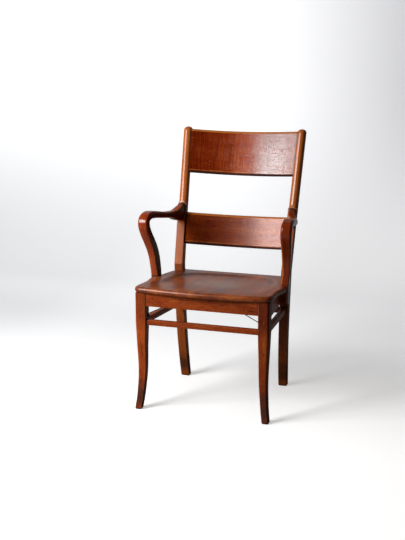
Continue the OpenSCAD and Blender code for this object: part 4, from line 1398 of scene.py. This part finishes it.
@dataclass
class Arms(SubAssembly):
    """The two bent arms, each one piece from the side of the seat frame to the back post."""

    foot_y: float = 223.2
    foot_z: float = 386.0
    reach: float = 75.0
    lean: float = 15.8
    rise: float = 242.0
    widths: tuple[float, float, float, float] = (30.0, 41.0, 33.0, 27.0)
    depths: tuple[float, float, float, float] = (41.0, 30.5, 23.5, 70.0)
    arris_r: float = 7.5
    bend_r: float = 3.0
    bend_reach: float = 60.0
    seat_z: float = 455.0
    joint_y: float = 300.0
    fine: int = 8
    stations: tuple[tuple[float, float, float, float, float, float], ...] = (
        (-0.076, 0, -1.52, 0, 0, 0), (-0.076, 0, -1.026, 0, 0, 0), (-0.076, 0, -0.429, 0, 0, 0),
        (-0.055, 0.0045, 0, -0.05, 0.048, 4), (0.044, -0.015, 0.1445, -0.045, 0.143, 11),
        (0.196, -0.108, 0.289, 0.136, 0.286, 10), (0.405, -0.28, 0.4255, 0.364, 0.448, 9),
        (0.639, -0.529, 0.5535, 0.591, 0.667, 7), (0.848, -0.817, 0.6835, 0.818, 0.857, 5.5),
        (0.981, -0.992, 0.806, 1, 0.952, 4), (1, -0.907, 0.8965, 1, 1.143, 4),
        (0.873, -0.509, 0.938, 1.188, 1.286, 4), (0.658, 0.0255, 0.923, 1.3125, 1.571, 4),
        (0.373, 0.2355, 0.8905, 1.625, 1.786, 4), (-0.018, 0.4355, 0.8595, 1.875, 2, 4),
        (-0.303, 0.582, 0.845, 2.083, 2.065, 4), (-0.561, 0.689, 0.8265, 2.333, 2.355, 4),
        (-0.788, 0.791, 0.8285, 2.583, 2.677, 3), (-0.924, 0.889, 0.837, 3, 2.925, 2),
        (-1, 1, 0.847, 3, 3.086, 1),
    )

    @staticmethod
    def mixed(values: tuple[float, float, float, float], share: float) -> float:
        """Value between the foot (0), the bend (1), the level part (2) and the joint (3)."""
        i = min(2, max(0, math.floor(share)))
        return values[i] + (share - i) * (values[i + 1] - values[i])

    def path(self) -> list[Vector]:
        """Middle line of the arm with its width, depth and turn: vectors of six numbers.

        Returns:
            The vectors, from the foot to the post.
        """
        line = self.lines
        foot_x = line.apron_out(self.foot_y) + self.widths[0] / 2 + 2.3
        end_z = line.arm_top - self.depths[3] / 2 - 2
        end_x = line.post_out(end_z) - line.post_w / 2 - 0.7
        run = line.post_front(end_z) + 0.7 * line.post_w - self.foot_y
        knots = []
        for a, b, c, w, d, turn in self.stations:
            x = foot_x + a * (foot_x - end_x if a < 0 else self.lean)
            y = self.foot_y + b * (self.reach if b < 0 else run)
            z = line.seat_h + c * (line.seat_h - self.foot_z if c < 0 else self.rise)
            knots.append(Vector((x, y, z, self.mixed(self.widths, w), self.mixed(self.depths, d), turn)))
        spans = zip(knots, knots[1:], knots[2:], knots[3:])
        fine = [spline(*span, t / self.fine) for span in spans for t in range(self.fine)]
        return fine + knots[-2:]

    def shape(self, skin: Skin) -> None:
        """Adds the right arm's rings, flat against the apron below the seat.

        Args:
            skin: The skin that takes them.
        """
        line = self.lines
        path = self.path()
        along = 0.0
        bend = Vector(min(path, key=lambda c: c[1])[:3])
        rings = []
        for c, earlier, later in zip(path, path[:1] + path, path[1:] + path[-1:]):
            here, before, after = Vector(c[:3]), Vector(earlier[:3]), Vector(later[:3])
            along += (here - before).length
            tangent = (after - before).normalized()
            turn = math.radians(c[5])
            wide = Vector((math.cos(turn), math.sin(turn), 0))
            wide = (wide - wide.dot(tangent) * tangent).normalized()
            deep = tangent.cross(wide)
            # Painted shade in a band where the seat's edge shades the arm, and at the arm's joint with the post.
            grime = 0.6 * fade(abs(here.z - self.seat_z), 0, 12)
            if here.y > self.joint_y:
                joint = line.post_front(here.z) - here.y
                grime = max(grime, 0.75 * fade(joint, 2, 12))
            ring = []
            r = self.arris_r + self.bend_r * bump((here - bend).length, 0, self.bend_reach)
            for a, b, w in rounded(c[3], c[4], r, r, q=6):
                place = here + a * wide + b * deep
                if place.z < line.seat_z(place.y):
                    place.x = max(place.x, line.apron_out(place.y) + 0.05)
                place.z = max(place.z, self.foot_z)
                # Painted shade: the left arm's inner side, turned away from the lamps, is darkened through the
                # stain-and-shade weight.
                tone = 0.85 * fade(a + c[3] / 2, 1, 4) if skin.mirrored else 0.0
                ring.append(Knot(place, Vector((along, a, b)) / 1000, w, grime, 0.0, tone))
            rings.append(ring)
        skin.loft(rings)

    def build(self) -> None:
        """Builds and dresses both arms."""
        line = self.lines
        face = line.raked(0, -0.05, 0), Vector((0, math.cos(line.rake), -math.sin(line.rake)))
        self.both("arm", self.shape, "arm_wood", stains=(0.0, 0.3), trim=face)


@dataclass
class Hardware(SubAssembly):
    """Metal and plugs: the wire braces and wood plugs, carried over, and the screws with their slots."""

    slot_w: float = 0.0011
    slot_depth: float = 0.0013
    head_h: float = 0.0026
    wall: float = 0.00002
    weld: float = 0.000002
    first_turn: float = 0.4
    next_turn: float = 1.9

    def islands(self, work: bmesh.types.BMesh) -> list[list[bmesh.types.BMVert]]:
        """Vertices of each screw in a mesh.

        Args:
            work: The mesh, with its split edges joined.

        Returns:
            One list of vertices for each loose part.
        """
        seen: set[bmesh.types.BMVert] = set()
        found = []
        for start in work.verts:
            if start in seen:
                continue
            seen.add(start)
            part = [start]
            for vert in part:
                fresh = [v for v in (edge.other_vert(vert) for edge in vert.link_edges) if v not in seen]
                seen.update(fresh)
                part.extend(dict.fromkeys(fresh))
            found.append(part)
        return found

    def cut_slot(self, work: bmesh.types.BMesh, part: list[bmesh.types.BMVert], turn: float) -> None:
        """Sinks a driving slot into a screw's head.

        Args:
            work: The mesh that holds the screw.
            part: Vertices of the screw.
            turn: Angle of the slot about the screw.
        """
        middle = sum((vert.co for vert in part), Vector()) / len(part)
        far = max(part, key=lambda vert: (vert.co - middle).length).co
        along = far - max(part, key=lambda vert: (vert.co - far).length).co
        for _ in range(8):
            spread = sum(((vert.co - middle).dot(along) * (vert.co - middle) for vert in part), Vector())
            along = spread.normalized()

        def girth(sign: int) -> float:
            """Radius of the screw at one of its ends.

            Args:
                sign: Which end, 1 or -1.

            Returns:
                The radius.
            """
            end = max(sign * (vert.co - middle).dot(along) for vert in part) - self.head_h
            close = [vert.co - middle for vert in part if sign * (vert.co - middle).dot(along) > end]
            return max((place - place.dot(along) * along).length for place in close)

        if girth(-1) > girth(1):
            along = -along
        across = Matrix.Rotation(turn, 3, along) @ along.orthogonal().normalized()
        floor = max((vert.co - middle).dot(along) for vert in part) - self.slot_depth
        half = self.slot_w / 2
        for place in (-half - self.wall, -half, half, half + self.wall):
            faces = {face for vert in part for face in vert.link_faces}
            edges = {edge for vert in part for edge in vert.link_edges}
            cut = bmesh.ops.bisect_plane(
                work, geom=[*part, *edges, *faces], plane_co=middle + place * across, plane_no=across
            )
            part += [v for v in cut["geom_cut"] if isinstance(v, bmesh.types.BMVert) and v not in part]
        for vert in part:
            height = (vert.co - middle).dot(along)
            if abs((vert.co - middle).dot(across)) < half + self.wall / 2 and height > floor:
                vert.co -= (height - floor) * along

    def slotted(self, node: str) -> bpy.types.Object:
        """Makes the screws of a CAD node again, each with a slot in its head.

        Args:
            node: Name of the CAD node.

        Returns:
            The new piece.
        """
        work = bmesh.new()
        work.from_mesh(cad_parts[node].data)
        bmesh.ops.remove_doubles(work, verts=work.verts[:], dist=self.weld)
        for count, part in enumerate(self.islands(work)):
            self.cut_slot(work, part, self.first_turn + self.next_turn * count)
        bmesh.ops.remove_doubles(work, verts=work.verts[:], dist=self.weld)
        bmesh.ops.dissolve_degenerate(work, edges=work.edges[:], dist=self.weld / 2)
        piece = mesh_object(f"{node}_slotted", work, SHARP)
        piece.matrix_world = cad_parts[node].matrix_world
        return piece

    def build(self) -> None:
        """Dresses the carried-over nodes and makes the screws."""
        self.keep("aged_steel", "brace_wire_left", "brace_wire_right")
        self.keep("plug_wood", "arm_plugs")
        for group in ("brace", "block", "seat", "arm_foot", "arm_post"):
            self.take(self.slotted(f"{group}_screws"), f"{group}_screws", "aged_steel", "steel")


# ---------------------------------------------------------------- studio


@dataclass
class Studio:
    """Pale floor and backdrop, soft light and the camera."""

    lens_px: float = 978.98
    picture_h: float = 540.0
    yaw: float = 18.38
    pitch: float = 12.82
    eye: Place = (1055.0, -3151.3, 1297.2)
    # Tints of the glow the camera sees, from the front of the floor back and up the wall: they paint the fall of the
    # light across the paper and the chair's shadow on the floor.
    front: tuple[Colour, Colour] = ((0.45, 0.45, 0.45), (0.57, 0.56, 0.55))
    painted_light_tints: tuple[tuple[str, float, float, tuple[Colour, ...]], ...] = (
        ("Y", -0.5, 0.1, ((0.45, 0.45, 0.45), (0.46, 0.45, 0.44))),
        ("Y", 0.1, 0.65, ((0.345, 0.35, 0.365), (0.44, 0.445, 0.455), (0.48, 0.48, 0.485))),
        ("Y", 0.75, 1.45, ((0.525, 0.53, 0.545), (0.59, 0.595, 0.605), (0.465, 0.465, 0.475))),
        ("Z", 0.0, 1.1, ((0.88, 0.885, 0.91), (0.09, 0.09, 0.105))),
    )
    sweep_y: float = 1.6
    sweep_r: float = 1.1
    reach: float = 7.0
    wall_h: float = 5.0

    def backdrop(self) -> None:
        """Builds the floor that sweeps up into the wall."""
        y, r = self.sweep_y, self.sweep_r
        turns = [math.radians(7.5 * i) for i in range(1, 13)]
        profile = [(-self.reach, 0.0), (y, 0.0), *((y + r * math.sin(a), r * (1 - math.cos(a))) for a in turns)]
        profile.append((y + r, self.wall_h))
        work = bmesh.new()
        rows = [[work.verts.new((x, y, z)) for x in (-self.reach, self.reach)] for y, z in profile]
        for a, b in zip(rows, rows[1:]):
            work.faces.new((a[0], a[1], b[1], b[0]))
        sheet = mesh_object("backdrop", work)
        sheet.data.materials.append(self.paper())

    def paper(self) -> bpy.types.Material:
        """The backdrop's paper: matt, lifted to white by a glow where the camera sees it, whose tints paint the fall of
        the light and the chair's shadow on the floor; a glow that glossy rays see paints its reflection; nothing from
        behind.

        Returns:
            The material.
        """
        made, weave = new_material("backdrop_paper")
        weave.tree.nodes.clear()
        place = weave.node("SeparateXYZ", {0: weave.node("TexCoord").outputs["Object"]}).outputs
        rightward, nearby, beyond = (
            weave.remap(place["X"], *span) for span in ((-1.2, 1.2), (-1.35, -0.85), (-0.75, 0.1))
        )
        tint = weave.blend(rightward, *self.front)
        for axis, start, end, shades in self.painted_light_tints:
            if len(shades) == 2:
                across = weave.blend(rightward, *shades)
            else:
                across = weave.blend(beyond, weave.blend(nearby, *shades[:2]), shades[2])
            tint = weave.blend(weave.remap(place[axis], start, end), tint, across)
        path = weave.node("LightPath").outputs
        # Glow seen by glossy rays only: a painted reflection of the backdrop, brighter behind the chair and to the
        # left.
        mirrored = weave.times(weave.remap(place["Y"], 0.3, 0.9), weave.remap(place["X"], -0.2, 0.9, (0.5, 0.25)))
        seen = weave.maths("MAXIMUM", path["Is Camera Ray"], path["Is Transmission Ray"])
        strength = weave.maths("MAXIMUM", seen, weave.times(path["Is Glossy Ray"], mirrored))
        glow = weave.node("Emission", {"Color": tint, "Strength": strength})
        matt = weave.node(
            "BsdfDiffuse", {"Color": weave.blend(path["Is Camera Ray"], (0.25, 0.25, 0.25), (0.88, 0.88, 0.88))}
        )
        both = weave.node("AddShader", {0: matt.outputs[0], 1: glow.outputs[0]})
        clear = weave.node("BsdfTransparent")
        behind = weave.node("NewGeometry").outputs["Backfacing"]
        sheet = weave.node("MixShader", {0: behind, 1: both.outputs[0], 2: clear.outputs[0]})
        weave.node("OutputMaterial", {"Surface": sheet.outputs[0]})
        return made

    def lamp(
        self, name: str, at: Place, towards: Place, size: tuple[float, float], watts: float, shines: bool = True
    ) -> None:
        """Adds one soft box.

        Args:
            name: Its name.
            at: Where it hangs.
            towards: Where it points.
            size: Width and height.
            watts: Its power.
            shines: Whether glossy surfaces mirror it.
        """
        light = bpy.data.lights.new(name, "AREA")
        light.shape = "RECTANGLE"
        light.size, light.size_y = size
        light.energy = watts
        hung = new_object(name, light)
        hung.location = at
        hung.visible_camera = False
        hung.visible_glossy = shines
        hung.rotation_mode = "QUATERNION"
        hung.rotation_quaternion = (Vector(towards) - Vector(at)).to_track_quat("-Z", "Y")

    def world(self) -> None:
        """Sets the room's own light: white to the camera, dim to the chair."""
        room = bpy.data.worlds.new("room")
        bpy.context.scene.world = room
        room.use_nodes = True
        weave = Weave(room.node_tree)
        strength = weave.remap(weave.node("LightPath").outputs["Is Camera Ray"], 0.0, 1.0, (0.015, 0.97))
        weave.feed(room.node_tree.nodes["Background"], {"Color": (0.93, 0.94, 0.96, 1), "Strength": strength})

    def camera(self, lines: Lines) -> None:
        """Places the camera at the photograph's viewpoint.

        Args:
            lines: The chair's lines, for its middle.
        """
        data = bpy.data.cameras.new("viewpoint")
        data.sensor_width = 36.0
        data.lens = self.lens_px * data.sensor_width / self.picture_h
        data.clip_start, data.clip_end = 0.05, 60.0
        eye = new_object("viewpoint", data)
        x, y, z = self.eye
        eye.location = Vector((x, y - lines.mid_y, z)) / 1000
        eye.rotation_mode = "XYZ"
        eye.rotation_euler = (math.radians(90 - self.pitch), 0.0, math.radians(self.yaw))
        bpy.context.scene.camera = eye

    def build(self, lines: Lines) -> None:
        """Builds the whole studio.

        Args:
            lines: The chair's lines, for its middle.
        """
        self.backdrop()
        self.world()
        self.lamp("key_box", (-1.55, -1.63, 1.55), (0.0, 0.0, 0.6), (1.3, 1.3), 56.0)
        self.lamp("key_heart", (-1.33, -1.78, 1.62), (0.0, 0.0, 0.65), (0.6, 0.7), 17.0)
        self.lamp("top_box", (-0.4, 0.4, 3.4), (0.0, 0.2, 0.4), (2.4, 2.4), 12.0, shines=False)
        self.camera(lines)
        bpy.context.scene.view_settings.view_transform = "Standard"


# ---------------------------------------------------------------- putting it together


def main() -> None:
    """Builds the studio and every sub-assembly in order."""
    logging.basicConfig(level=logging.INFO, format="%(message)s")
    lines = Lines()
    palette = Palette()
    palette.build()
    for kind in (FrontLegs, BackPosts, BackRails, SeatPlank, SeatFrame, Stretchers, Arms, Hardware):
        part = kind(lines, palette)
        part.build()
        LOG.info("%s: %s", kind.__name__, ", ".join(part.made))
    Studio().build(lines)


if __name__ == "__main__":
    main()
